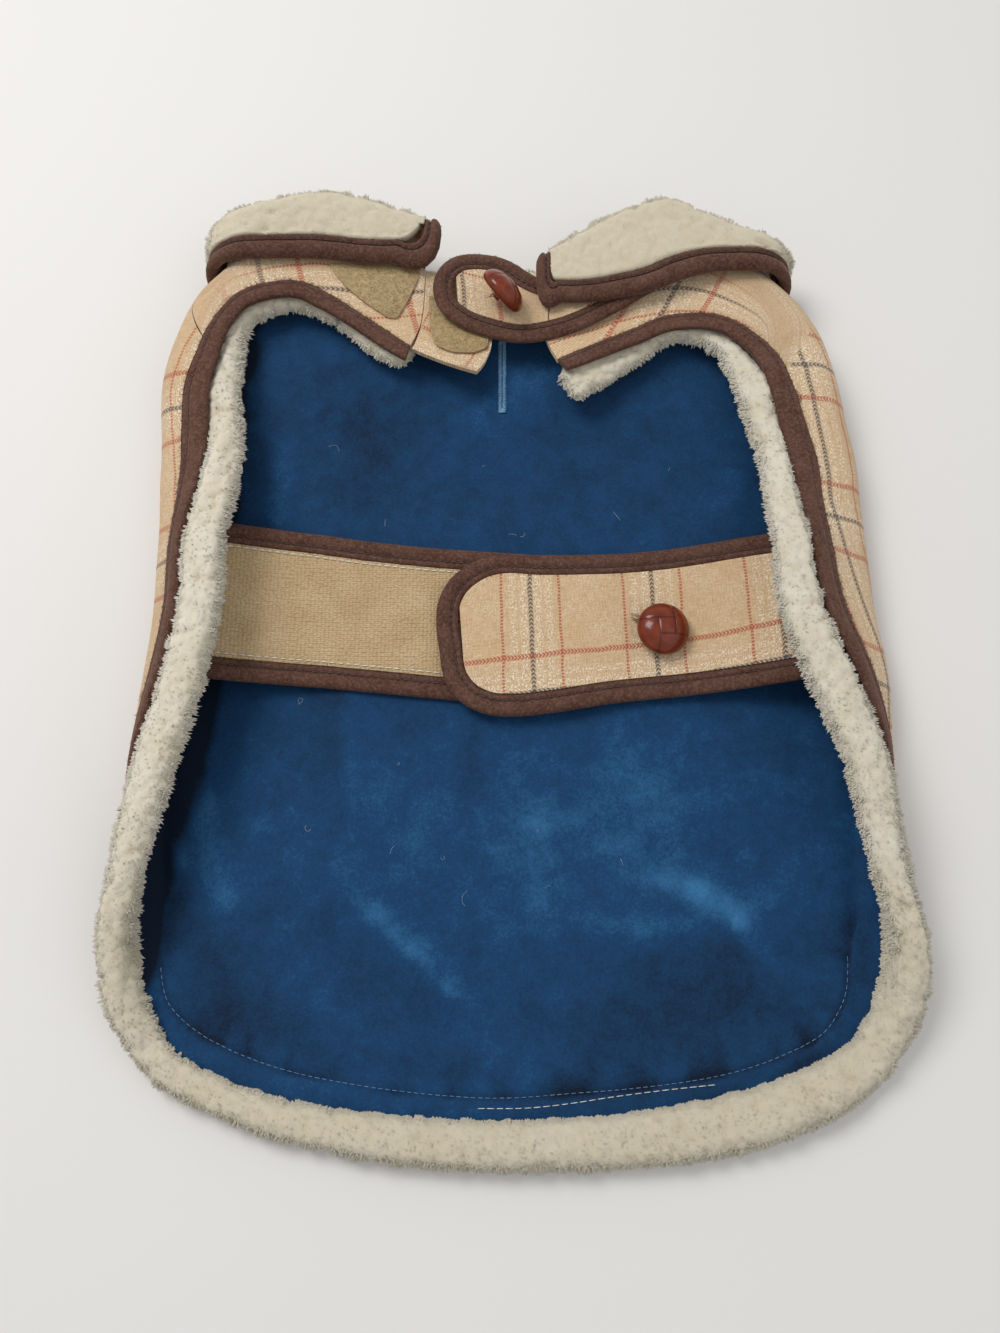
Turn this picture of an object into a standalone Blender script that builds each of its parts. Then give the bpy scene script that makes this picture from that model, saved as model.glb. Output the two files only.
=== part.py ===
# A dog's winter coat laid flat on its back: check-cloth shell, velvet lining, sherpa trim,
# bound collar, throat tab, hook-and-loop belly strap and two domed shank buttons.
# X runs across the coat, Y from rump to neck and Z up from the surface it lies on.
# Sizes are in millimetres and become metres when a mesh is made.

import math

import bpy
import numpy as np

MM = 0.001

SEAM_GAP = 0.3
EDGE_GAP = 0.55
SHOULDER_GAP = 0.6
LINING_GAP = 0.5
NECK_GAP = 0.7
COLLAR_GAP = 0.8
REST_HEIGHT = 0.03
SHELL_WALL = 1.6
LINING_WALL = 1.2
FLAP_WALL = 3.0
BAND_WIDTH = 11.0
BAND_WALL = 2.2
COLLAR_WALL = 4.2
COLLAR_BINDING = 9.0
TAB_WALL = 2.4
TAB_BINDING = 8.0
STRAP_BINDING = 8.5
STRAP_WALL = 2.2
BUTTON_WIDTH = 20.6
BUTTON_DEPTH = 8.4
SLIT_LENGTH = 32.0
SLIT_WIDTH = 3.4
SLIT_WALL = 0.7
LINING_INSET = 0.8
LINING_ROLL_LIFT = 1.2
PATCH_WALL = 0.8

# How each flank leaves the surface it lies on, at stations along the coat:
# y, flat half width, radius of the roll, turn of the roll in degrees, run from roll to hem.
LEFT_SECTIONS = (
    (-185, 118.0, 12.0, 0, 4.0),
    (-150, 118.0, 12.0, 6, 4.0),
    (-125, 117.5, 12.0, 24, 4.5),
    (-112, 119.0, 12.0, 38, 5.0),
    (-98, 120.5, 12.0, 56, 5.0),
    (-84, 121.5, 12.0, 76, 5.5),
    (-70, 122.5, 12.0, 92, 7.0),
    (-56, 123.5, 12.0, 104, 9.0),
    (-41, 124.5, 12.0, 113, 12.0),
    (-24, 125.0, 11.5, 122, 16.0),
    (-8, 124.0, 11.5, 127, 18.0),
    (15, 122.5, 11.5, 129, 19.5),
    (40, 122.5, 12.0, 131, 19.0),
    (58, 122.5, 12.5, 140, 18.5),
    (75, 123.0, 13.0, 155, 15.0),
    (92, 124.5, 13.0, 170, 12.6),
    (108, 126.0, 12.5, 177, 12.6),
    (122, 125.0, 12.0, 182, 14.0),
    (140, 121.8, 11.5, 184, 14.0),
    (150, 118.8, 11.0, 184, 14.0),
    (158, 114.8, 11.0, 184, 14.0),
    (166, 108.0, 11.0, 184, 14.0),
    (174, 102.0, 11.0, 184, 14.0),
    (184, 98.0, 11.0, 184, 14.0),
)
RIGHT_SECTIONS = (
    (-185, 124.0, 12.0, 0, 4.0),
    (-150, 124.0, 12.0, 6, 4.0),
    (-125, 124.5, 12.0, 26, 4.5),
    (-112, 126.0, 12.0, 42, 5.0),
    (-98, 127.0, 12.0, 60, 5.5),
    (-84, 128.0, 12.0, 80, 6.0),
    (-70, 129.5, 12.0, 96, 8.0),
    (-56, 131.0, 12.0, 107, 10.0),
    (-41, 133.0, 12.0, 117, 13.0),
    (-24, 135.0, 11.5, 128, 17.0),
    (-8, 135.5, 11.5, 138, 21.0),
    (15, 133.5, 11.5, 146, 25.0),
    (40, 132.5, 11.5, 150, 25.5),
    (58, 131.5, 12.0, 160, 22.8),
    (75, 131.0, 12.5, 170, 21.0),
    (92, 128.5, 13.0, 175, 19.2),
    (108, 127.0, 12.5, 178, 20.5),
    (122, 124.5, 12.0, 182, 20.0),
    (140, 120.0, 11.5, 184, 20.0),
    (150, 115.0, 11.0, 184, 20.0),
    (158, 108.5, 11.0, 184, 20.0),
    (166, 101.5, 11.0, 184, 20.0),
    (174, 97.0, 11.0, 184, 20.0),
    (184, 95.0, 11.0, 184, 20.0),
)

# The nape lies on the turned-down collar, so the coat rises by NAPE_LIFT over this stretch of y.
NAPE_LIFT = 5.8
NAPE_RISE = (86.0, 132.0)

# Hem of each chest flap on top of the coat: distance from the middle, y. From flap end to flank.
LEFT_FLAP_HEM = ((38.5, 122.0), (46.0, 127.3), (55.0, 134.2), (64.0, 141.0), (75.0, 148.0), (90.0, 152.5),
                 (102.0, 148.5), (109.5, 137.0), (113.5, 120.5))
RIGHT_FLAP_HEM = ((27.0, 116.5), (41.5, 123.7), (57.0, 130.6), (73.0, 136.8), (89.0, 135.0),
                  (102.5, 121.5), (108.0, 106.0))

# Cut end of each chest flap above its hem band, as distance from the middle and y.
LEFT_FLAP_END = ((33.2, 140.0), (32.0, 150.0), (31.6, 160.0))
RIGHT_FLAP_END = ((19.3, 133.0), (17.0, 144.0))
LEFT_END_CUT = 0.33

FLANK_STATIONS = (84, 62, 40, 20, 0, -20, -40, -55, -70, -84, -98, -112, -124)

# Hem round the rump, on the flat part: x, y.
RUMP_HEM = ((-118.0, -137.5), (-111.0, -144.8), (-103.0, -148.8), (-89.0, -154.5), (-75.0, -158.5),
            (-61.0, -161.0), (-34.0, -164.2), (0.0, -165.8), (34.0, -164.2), (61.0, -160.8),
            (75.0, -158.2), (89.0, -154.6), (103.0, -149.8), (117.0, -143.6), (126.0, -137.0))

# Neckline: on the back as (s, y), on the chest flaps as distance from the middle and y.
NAPE = ((0.0, 158.0), (55.0, 158.5), (92.0, 161.0))
SHOULDER_TURN = 98.0
SHOULDER_Y = {-1: 170.0, 1: 164.0}
LEFT_NECK = ((98.0, 172.0), (86.0, 172.5), (70.0, 172.0), (52.0, 170.5), (31.5, 168.5))
RIGHT_NECK = ((98.0, 166.5), (86.0, 168.0), (70.0, 168.0), (52.0, 165.5), (36.0, 161.0), (14.0, 155.0))

# Underlap beyond the left chest flap: rows from below upwards of left x, left y, right x, right y.
UNDERLAP_ROWS = ((-35.4, 128.4, -11.5, 115.6), (-34.0, 132.4, -5.0, 119.5), (-32.8, 137.0, -3.0, 127.0),
                 (-32.2, 140.0, -3.0, 133.0), (-31.2, 150.0, -3.6, 144.0), (-30.8, 160.0, -4.2, 154.0),
                 (-30.6, 167.5, -4.8, 161.0))

# Collar round the neckline: fraction from the left throat, stand, fall, radius of its roll,
# height of its edge above the cloth.
COLLAR_ROWS = (
    (0.00, 12.5, 9.5, 4.6, 6.2),
    (0.03, 14.5, 16.0, 4.7, 5.4),
    (0.08, 19.0, 23.5, 4.8, 4.6),
    (0.12, 20.0, 24.5, 4.8, 4.4),
    (0.16, 16.5, 22.0, 4.7, 4.4),
    (0.19, 12.5, 18.0, 4.4, 4.2),
    (0.222, 8.0, 12.5, 4.0, 4.0),
    (0.24, 8.5, 14.0, 3.0, 3.6),
    (0.26, 9.5, 17.0, 2.4, 3.2),
    (0.32, 13.0, 25.0, 2.4, 3.2),
    (0.50, 16.0, 30.0, 2.4, 3.2),
    (0.66, 13.0, 25.0, 2.4, 3.2),
    (0.70, 9.0, 17.0, 2.4, 3.2),
    (0.718, 7.5, 13.0, 2.9, 3.6),
    (0.742, 6.0, 10.5, 4.0, 4.0),
    (0.775, 7.5, 14.0, 4.5, 5.0),
    (0.80, 12.5, 21.0, 4.9, 6.2),
    (0.83, 19.5, 31.0, 5.2, 7.2),
    (0.87, 18.0, 33.5, 5.4, 7.6),
    (0.91, 15.0, 30.5, 5.4, 7.8),
    (0.96, 10.5, 23.0, 5.4, 8.0),
    (1.00, 6.5, 14.0, 5.2, 8.0),
)
COLLAR_START = (25.0, 167.5)
COLLAR_END = (15.5, 155.5)
COLLAR_STAND_DEPTH = 1.5
COLLAR_CORNER = 7.0

# Throat tab: outline as x, y from its right end along the top, round its left end and back,
# and the height of its underside as x, z.
TAB_OUTLINE = ((56.0, 168.5), (44.0, 164.5), (30.0, 161.0), (20.0, 161.2), (13.0, 164.6), (7.5, 169.0),
               (1.0, 172.6), (-10.0, 174.3),
               (-20.0, 171.8), (-26.5, 164.0), (-27.8, 155.0), (-25.0, 146.0), (-18.0, 139.5),
               (-6.0, 134.5), (8.0, 131.6), (20.0, 132.8), (33.0, 136.7), (46.0, 143.2), (56.0, 149.0))
TAB_HEIGHT = ((-30.0, 25.2), (-20.0, 24.2), (-10.0, 23.2), (8.0, 22.6), (25.0, 23.3), (45.0, 25.2),
              (62.0, 26.6))

# Belly strap. Undersides as x, z; edges as x, y.
LEFT_STRAP_HEIGHT = ((-124.0, 26.5), (-113.0, 21.0), (-100.0, 14.5), (-84.0, 9.5), (-62.0, 6.6),
                     (-35.0, 5.6), (30.0, 5.2))
LEFT_STRAP_TOP = ((-119.0, 52.0), (-104.0, 53.3), (-79.0, 53.0), (-48.0, 49.8), (-30.0, 48.0),
                  (0.0, 45.8), (27.0, 44.0))
LEFT_STRAP_BOTTOM = ((-119.0, -12.0), (-104.0, -11.0), (-76.0, -11.0), (-46.0, -13.1), (-30.0, -14.6),
                     (0.0, -17.4), (27.0, -19.4))
RIGHT_STRAP_HEIGHT = ((-28.0, 9.4), (10.0, 9.2), (30.0, 8.8), (50.0, 7.4), (72.0, 7.4), (90.0, 10.6),
                      (104.0, 15.5), (116.0, 21.5), (127.0, 27.0))
RIGHT_STRAP_OUTLINE = ((120.5, 48.0), (107.0, 49.1), (94.0, 49.0), (79.0, 47.8), (60.0, 45.6), (40.0, 43.8),
                       (16.0, 43.0), (0.0, 43.4), (-8.0, 41.4), (-14.5, 37.6), (-20.5, 31.5),
                       (-24.2, 23.0), (-24.8, 14.0), (-23.4, 3.0), (-20.9, -9.3), (-14.5, -17.8),
                       (-5.0, -22.4), (6.0, -23.2), (18.0, -22.0), (45.0, -17.4), (76.0, -14.2),
                       (105.0, -12.1), (120.5, -11.6))

# Half-moon loop patch on the underlap and pointed loop patch on the left flap: rows of y,
# left x, right x.
UNDERLAP_PATCH_ROWS = ((126.6, -19.0, -11.0), (129.0, -24.5, -6.6), (134.0, -27.4, -4.9),
                       (144.0, -29.0, -5.2), (155.0, -29.6, -6.0))
FLAP_PATCH_ROWS = ((143.5, -46.0, -42.5), (150.0, -55.0, -39.5), (156.0, -62.0, -37.0),
                   (162.0, -67.5, -34.8), (168.0, -71.0, -33.4))

# Middle of each button and the direction its face looks.
BELLY_BUTTON = (62.8, 10.6, 15.2)
BELLY_BUTTON_FACE = (0.16, -0.02, 1.0)
NECK_BUTTON = (2.0, 148.0, 35.3)
NECK_BUTTON_FACE = (0.80, 0.54, 0.26)

SLIT_MIDDLE = (0.9, 125.0)

# Soft folds that lift the lining off the shell: from x, y to x, y, height, half width.
LINING_FOLDS = (
    (-62.0, -80.0, -25.0, -118.0, 2.4, 12.0),
    (-60.0, -14.0, -58.0, -48.0, 1.6, 9.0),
    (34.0, -97.0, 69.0, -90.0, 2.6, 11.0),
    (69.0, -90.0, 93.0, -118.0, 1.8, 11.0),
    (4.0, 104.0, 38.0, 126.0, 1.8, 9.0),
    (-46.0, 86.0, -68.0, 66.0, 1.4, 10.0),
)

# Sherpa trim along the hem. Fraction of the hem's length from the left flap's end, width, thickness,
# tilt in degrees towards the lining, then how far its middle lies out from and above the hem.
TRIM_ROWS = (
    (0.000, 12.0, 8.0, 180, -6.8, 7.6),
    (0.025, 12.0, 8.0, 180, -4.6, 7.6),
    (0.045, 12.0, 8.0, 180, -6.2, 7.6),
    (0.075, 12.0, 8.5, 172, -4.2, 8.0),
    (0.095, 12.0, 10.0, 150, -0.8, 9.2),
    (0.115, 12.0, 11.0, 115, 3.4, 8.6),
    (0.135, 12.0, 12.0, 85, 5.4, 6.5),
    (0.155, 12.5, 12.0, 60, 6.0, 4.8),
    (0.180, 13.5, 12.0, 42, 7.4, 3.8),
    (0.210, 15.0, 12.0, 34, 8.2, 3.4),
    (0.300, 16.0, 12.0, 30, 8.7, 4.0),
    (0.330, 15.5, 12.0, 25, 8.4, 4.4),
    (0.365, 13.0, 11.0, 10, 7.2, 5.0),
    (0.395, 10.8, 10.4, 3, 5.5, 5.4),
    (0.430, 12.2, 11.0, 0, 5.9, 5.6),
    (0.470, 14.6, 12.0, 0, 7.0, 6.0),
    (0.530, 16.0, 12.0, 0, 7.7, 6.1),
    (0.580, 18.5, 12.0, 0, 8.9, 6.1),
    (0.612, 18.2, 12.0, 0, 8.8, 6.1),
    (0.640, 15.6, 12.0, 4, 7.6, 5.8),
    (0.672, 16.2, 12.0, 18, 8.8, 4.8),
    (0.700, 16.5, 12.0, 28, 8.9, 4.2),
    (0.740, 16.0, 12.0, 32, 8.7, 3.8),
    (0.800, 15.0, 12.0, 34, 8.2, 3.4),
    (0.840, 14.0, 12.0, 42, 7.6, 3.6),
    (0.870, 12.5, 12.0, 60, 6.0, 4.8),
    (0.895, 12.0, 11.5, 90, 5.6, 7.0),
    (0.912, 12.0, 10.0, 130, 1.2, 9.2),
    (0.930, 12.0, 8.5, 160, -3.2, 8.6),
    (0.942, 12.0, 8.5, 168, -5.4, 8.4),
    (0.960, 13.0, 8.5, 178, -2.6, 8.2),
    (0.980, 14.0, 8.8, 186, 0.6, 8.0),
    (1.000, 15.0, 9.0, 190, 3.0, 7.6),
)
TRIM_SPLITS = (0.004, 0.40, 0.66, 1.0)


def metres(points):
    return np.asarray(points, float) * MM


def smooth_rows(rows, where):
    """Cubic curve through the rows of a table, whose first column is the place."""
    table = np.asarray(rows, float)
    place = table[:, 0]
    values = table[:, 1:]
    where = np.clip(np.asarray(where, float), place[0], place[-1])
    slope = np.gradient(values, place, axis=0)
    row = np.clip(np.searchsorted(place, where) - 1, 0, len(place) - 2)
    step = place[row + 1] - place[row]
    t = ((where - place[row]) / step)[..., None]
    step = step[..., None]
    return ((2 * t**3 - 3 * t**2 + 1) * values[row] + (t**3 - 2 * t**2 + t) * step * slope[row]
            + (3 * t**2 - 2 * t**3) * values[row + 1] + (t**3 - t**2) * step * slope[row + 1])


def smooth_path(points, count=None, fractions=None):
    """Evenly spaced points, or points at the given fractions, on a smooth curve through the points."""
    points = np.asarray(points, float)
    chord = np.concatenate([[0], np.cumsum(np.linalg.norm(np.diff(points, axis=0), axis=1))])
    fine = smooth_rows(np.column_stack([chord, points]), np.linspace(0, chord[-1], 1200))
    along = np.concatenate([[0], np.cumsum(np.linalg.norm(np.diff(fine, axis=0), axis=1))])
    if fractions is None:
        fractions = np.linspace(0, 1, count)
    wanted = np.asarray(fractions, float) * along[-1]
    return np.column_stack([np.interp(wanted, along, fine[:, k]) for k in range(fine.shape[1])])


def smoothstep(value, low, high):
    t = np.clip((value - low) / (high - low), 0, 1)
    return t * t * (3 - 2 * t)


# The cloth's surface. A place on the cloth is s, measured across it from the middle of the back,
# and y along it. s is negative on the left. Depth goes from the outer face towards the lining.

def section_at(s, y):
    left = smooth_rows(LEFT_SECTIONS, y)
    right = smooth_rows(RIGHT_SECTIONS, y)
    return np.where((s < 0)[..., None], left, right)


def cloth(s, y, depth=0.0):
    s, y, depth = np.broadcast_arrays(np.asarray(s, float), np.asarray(y, float), depth)
    flat, roll, turn, run = np.moveaxis(section_at(s, y), -1, 0)
    turn = np.radians(turn)
    beyond = np.abs(s) - flat
    angle = np.clip(beyond / roll, 0, turn)
    straight = np.clip(beyond - roll * turn, 0, None)
    x = np.minimum(np.abs(s), flat) + roll * np.sin(angle) + straight * np.cos(angle)
    z = roll * (1 - np.cos(angle)) + straight * np.sin(angle)
    z = z + NAPE_LIFT * smoothstep(y, *NAPE_RISE)
    side = np.where(s < 0, -1.0, 1.0)
    return np.stack([side * (x - depth * np.sin(angle)), y, z + depth * np.cos(angle)], axis=-1)


def over_flap(side, x, y):
    """Place on the cloth of a point on a folded-over flap, x from the middle."""
    flat, roll, turn, run = section_at(np.asarray(float(side)), np.asarray(float(y)))
    turn = math.radians(turn)
    straight = (flat + roll * math.sin(turn) - x) / -math.cos(turn)
    return side * (flat + roll * turn + straight), y


def flank(side, y):
    flat, roll, turn, run = section_at(np.asarray(float(side)), np.asarray(float(y)))
    return side * (flat + roll * math.radians(turn) + run), y


def hem_points():
    left_flap = [over_flap(-1, x, y) for x, y in LEFT_FLAP_HEM]
    right_flap = [over_flap(1, x, y) for x, y in RIGHT_FLAP_HEM]
    left = [flank(-1, y) for y in FLANK_STATIONS]
    right = [flank(1, y) for y in FLANK_STATIONS]
    return left_flap + left + list(RUMP_HEM) + right[::-1] + right_flap[::-1]


def inset(path, width):
    """The path moved by width to the cloth's side of the hem."""
    along = np.gradient(path, axis=0)
    along = along / np.linalg.norm(along, axis=1)[:, None]
    inward = np.column_stack([-along[:, 1], along[:, 0]])
    return path + inward * width


# Making closed meshes.

def finish(name, vertices, faces, material):
    """Object from points and faces, turned outwards and shaded smooth."""
    volume = 0.0
    for face in faces:
        first = vertices[face[0]]
        for k in range(1, len(face) - 1):
            volume += first @ np.cross(vertices[face[k]], vertices[face[k + 1]])
    if volume < 0:
        faces = [face[::-1] for face in faces]
    mesh = bpy.data.meshes.new(name)
    mesh.from_pydata([tuple(v) for v in metres(vertices)], [], faces)
    mesh.shade_smooth()
    mesh.set_sharp_from_angle(angle=math.radians(40))
    mesh.materials.append(material)
    piece = bpy.data.objects.new(name, mesh)
    bpy.context.scene.collection.objects.link(piece)
    return piece


def sheet(name, outer, inner, material):
    """Closed wall between two grids of points."""
    rows, columns = outer.shape[:2]
    count = rows * columns
    index = np.arange(count).reshape(rows, columns)
    faces = []
    for i in range(rows - 1):
        for j in range(columns - 1):
            quad = (index[i, j], index[i, j + 1], index[i + 1, j + 1], index[i + 1, j])
            faces.append(tuple(int(k) for k in quad))
            faces.append(tuple(int(k) + count for k in quad[::-1]))
    rim = np.concatenate([index[0, :-1], index[:-1, -1], index[-1, :0:-1], index[:0:-1, 0]])
    for here, there in zip(rim, np.roll(rim, -1)):
        faces.append((int(there), int(here), int(here) + count, int(there) + count))
    vertices = np.concatenate([outer.reshape(-1, 3), inner.reshape(-1, 3)])
    return finish(name, vertices, faces, material)


def sweep(name, rings, material):
    """Closed bar through rings of points, with flat ends."""
    stations, around = rings.shape[:2]
    index = np.arange(stations * around).reshape(stations, around)
    faces = []
    for i in range(stations - 1):
        for j in range(around):
            k = (j + 1) % around
            faces.append((int(index[i, j]), int(index[i, k]), int(index[i + 1, k]), int(index[i + 1, j])))
    faces.append(tuple(int(k) for k in index[0, ::-1]))
    faces.append(tuple(int(k) for k in index[-1]))
    return finish(name, rings.reshape(-1, 3), faces, material)


def patch(bottom, top, left, right, across=None, upward=None):
    """Grid of places between four edges: bottom and top run across, left and right run up."""
    u = (np.linspace(0, 1, len(bottom)) if across is None else across)[None, :, None]
    v = (np.linspace(0, 1, len(left)) if upward is None else upward)[:, None, None]
    along = (1 - v) * bottom[None] + v * top[None]
    rising = (1 - u) * left[:, None] + u * right[:, None]
    corners = ((1 - v) * ((1 - u) * bottom[0] + u * bottom[-1])
               + v * ((1 - u) * top[0] + u * top[-1]))
    return along + rising - corners


def edging(name, surface, line_within, width, under, over, material):
    """Bound edge: a flat rounded bar on a surface. line_within gives the edge's line moved inwards."""
    profile = ((0.0, 0.5), (0.2, 1.0), (1.0, 0.9), (1.0, 0.1), (0.2, 0.0))
    rings = []
    for share, level in profile:
        path = line_within(width * share)
        rings.append(surface(path[:, 0], path[:, 1], under + (over - under) * level))
    return sweep(name, np.stack(rings, axis=1), material)


def cloth_material(name, colour, roughness, metallic=0.0):
    material = bpy.data.materials.new(name)
    material.use_nodes = True
    shader = material.node_tree.nodes["Principled BSDF"]
    shader.inputs["Base Color"].default_value = (*colour, 1.0)
    shader.inputs["Roughness"].default_value = roughness
    shader.inputs["Metallic"].default_value = metallic
    return material


# The hem in s, y, from the left flap's end round the rump to the right flap's end.

HEM = smooth_path(hem_points(), 1401)
HEM_STEPS = 1400


def moved_inwards(path, width):
    """The path moved by width over the curved cloth, square to itself."""
    s, y = path.T
    small = 0.05
    by_s = (cloth(s + small, y) - cloth(s - small, y)) / (2 * small)
    by_y = (cloth(s, y + small) - cloth(s, y - small)) / (2 * small)
    ss, sy, yy = [np.sum(a * b, axis=1) for a, b in ((by_s, by_s), (by_s, by_y), (by_y, by_y))]
    ds, dy = np.gradient(path, axis=0).T
    size = np.sqrt((ss * ds**2 + 2 * sy * ds * dy + yy * dy**2) * (ss * yy - sy**2))
    inward = np.column_stack([-(sy * ds + yy * dy), ss * ds + sy * dy]) / size[:, None]
    return path + inward * width


def hem_insets():
    """The hem moved inwards by 0, 1, 2 and more millimetres."""
    paths = [HEM]
    for step in range(int(BAND_WIDTH) + 2):
        paths.append(moved_inwards(paths[-1], 1.0))
    return np.array(paths)


HEM_INSETS = hem_insets()
HEM_LENGTH = float(np.sum(np.linalg.norm(np.diff(cloth(HEM[:, 0], HEM[:, 1]), axis=0), axis=1)))


def hem_inset(width):
    whole = int(width)
    part = width - whole
    return HEM_INSETS[whole] * (1 - part) + HEM_INSETS[whole + 1] * part


def hem_frame():
    """Point, direction along, direction out of the cloth and depth direction, along the hem."""
    point = cloth(HEM[:, 0], HEM[:, 1])
    within = hem_inset(1.0)
    out = point - cloth(within[:, 0], within[:, 1])
    deep = cloth(HEM[:, 0], HEM[:, 1], 1.0) - point
    along = np.gradient(point, axis=0)
    along /= np.linalg.norm(along, axis=1)[:, None]
    deep -= along * np.sum(along * deep, axis=1)[:, None]
    deep /= np.linalg.norm(deep, axis=1)[:, None]
    out -= along * np.sum(along * out, axis=1)[:, None]
    out -= deep * np.sum(deep * out, axis=1)[:, None]
    out /= np.linalg.norm(out, axis=1)[:, None]
    return point, along, out, deep


def hem_fraction(place):
    return float(np.argmin(np.linalg.norm(HEM - np.asarray(place), axis=1))) / HEM_STEPS


def edge_between(start, end, shares, width):
    """Places along the hem, inset by width, at shares of the way from one fraction to another."""
    fractions = start + (end - start) * np.asarray(shares)
    return hem_inset(width)[np.round(fractions * HEM_STEPS).astype(int)]


def shoulder(side):
    """Where the shoulder seam meets the neckline."""
    flat, roll, turn, run = section_at(np.asarray(float(side)), np.asarray(SHOULDER_Y[side]))
    return np.array([side * (flat + roll * math.radians(SHOULDER_TURN)), SHOULDER_Y[side]])


def flap_neckline(side, rows, count):
    places = [shoulder(side)] + [np.array(over_flap(side, x, y)) for x, y in rows]
    return smooth_path(places, count)


def nape_line(shares):
    half = [(-s, y) for s, y in NAPE[:0:-1]]
    return smooth_path([shoulder(-1)] + half + list(NAPE) + [shoulder(1)], fractions=shares)


SHOULDER_SHARE = {-1: hem_fraction(over_flap(-1, *LEFT_FLAP_HEM[-1])),
                  1: hem_fraction(over_flap(1, *RIGHT_FLAP_HEM[-1]))}
CORNER_SHARE = {-1: hem_fraction(RUMP_HEM[0]), 1: hem_fraction(RUMP_HEM[-1])}
FLAP_INSET = BAND_WIDTH + EDGE_GAP
SEAM_STEPS = 7
FLAP_STEPS = 24
SEAM_REACH = 70

# Shares of the way across the back and up it, closer together where the cloth turns.
SIDE_SHARE = 0.15
ACROSS = np.concatenate([np.linspace(0, SIDE_SHARE, SEAM_STEPS + 1),
                         (0.167, 0.185, 0.205, 0.24, 0.30, 0.37, 0.44, 0.5,
                          0.56, 0.63, 0.70, 0.76, 0.795, 0.815, 0.833),
                         np.linspace(1 - SIDE_SHARE, 1, SEAM_STEPS + 1)])
UPWARD = np.concatenate([np.linspace(0, 0.32, 9), np.linspace(0.32, 0.78, 8)[1:-1],
                         np.linspace(0.78, 0.93, 6), (0.955, 0.978, 1.0)])


def line(start, end, count):
    return np.linspace(np.asarray(start), np.asarray(end), count)


def seam_foot(side, width):
    """Where the line this far inside the hem meets the shoulder seam: its share of the hem, its place."""
    path = hem_inset(width)
    step = int(round(SHOULDER_SHARE[side] * HEM_STEPS))
    foot = HEM[step]
    way = shoulder(side) - foot
    apart = way[0] * (path[:, 1] - foot[1]) - way[1] * (path[:, 0] - foot[0])
    near = slice(step - SEAM_REACH, step + SEAM_REACH)
    crossing = step - SEAM_REACH + int(np.argmax(np.diff(np.sign(apart[near])) != 0))
    part = apart[crossing] / (apart[crossing] - apart[crossing + 1])
    return crossing / HEM_STEPS, path[crossing] * (1 - part) + path[crossing + 1] * part


def back_patch(width):
    """Places over the back and flanks, from the hem up to the shoulder seams and the nape."""
    left_share, left_foot = seam_foot(-1, width)
    right_share, right_foot = seam_foot(1, width)
    left = edge_between(CORNER_SHARE[-1], left_share, UPWARD, width)
    right = edge_between(CORNER_SHARE[1], right_share, UPWARD, width)
    bottom = edge_between(CORNER_SHARE[-1], CORNER_SHARE[1], ACROSS, width)
    left[-1] = left_foot
    right[-1] = right_foot
    left_seam = line(left_foot, shoulder(-1), SEAM_STEPS + 1)
    right_seam = line(shoulder(1), right_foot, SEAM_STEPS + 1)
    middle = (ACROSS[SEAM_STEPS:-SEAM_STEPS] - SIDE_SHARE) / (1 - 2 * SIDE_SHARE)
    top = np.concatenate([left_seam[:-1], nape_line(middle), right_seam[1:]])
    return patch(bottom, top, left, right, ACROSS, UPWARD)


def wall(name, places, outer_depth, inner_depth, material):
    outer = cloth(places[..., 0], places[..., 1], outer_depth)
    inner = cloth(places[..., 0], places[..., 1], inner_depth)
    return sheet(name, outer, inner, material)


def chest_flap(name, side, neck_rows, end_rows, material):
    """Front that folds over the chest, from the shoulder seam to its cut end."""
    hem_end = band_start(FLAP_INSET) if side < 0 else 1.0
    foot_share, foot = seam_foot(side, FLAP_INSET)
    lower = edge_between(foot_share, hem_end, np.linspace(0, 1, FLAP_STEPS + 1), FLAP_INSET)
    lower[0] = foot
    upper = flap_neckline(side, neck_rows, FLAP_STEPS + 1)
    root = line(lower[0], upper[0], SEAM_STEPS + 1)
    first, last = cloth(*lower[-1]), cloth(*upper[-1])
    cut = smooth_path([(abs(first[0]), first[1]), *end_rows, (abs(last[0]), last[1])], SEAM_STEPS + 1)
    places = patch(lower, upper, root, np.array([over_flap(side, x, y) for x, y in cut]))
    places[:, 0] += (side * SHOULDER_GAP, 0.0)
    return wall(name, places, 0.0, FLAP_WALL, material)


def underlap(material):
    rows = smooth_rows([(k, *row) for k, row in enumerate(UNDERLAP_ROWS)],
                       np.linspace(0, len(UNDERLAP_ROWS) - 1, 10))
    places = [[over_flap(-1, -x, y) for x, y in line(row[:2], row[2:], 8)] for row in rows]
    return wall("underlap", np.asarray(places), 0.3, FLAP_WALL - 0.4, material)


def patch_on_flap(name, rows, material):
    rows = np.asarray(rows)
    places = []
    for y, left, right in rows:
        places.append([over_flap(-1, -x, y) for x in np.linspace(left, right, 6)])
    return wall(name, np.asarray(places), -SEAM_GAP - PATCH_WALL, -SEAM_GAP, material)


# Steps along the hem band, closer together round its corners: from share, to share, steps.
BAND_STATIONS = ((0.0, 0.12, 24), (0.12, 0.36, 17), (0.36, 0.43, 12), (0.43, 0.62, 14), (0.62, 0.70, 12),
                 (0.70, 0.88, 14), (0.88, 1.0, 24))


def band_start(width):
    """Share of the hem at which the band's slanting left end lies, this far inside the hem."""
    return LEFT_END_CUT * width / HEM_LENGTH


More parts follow.
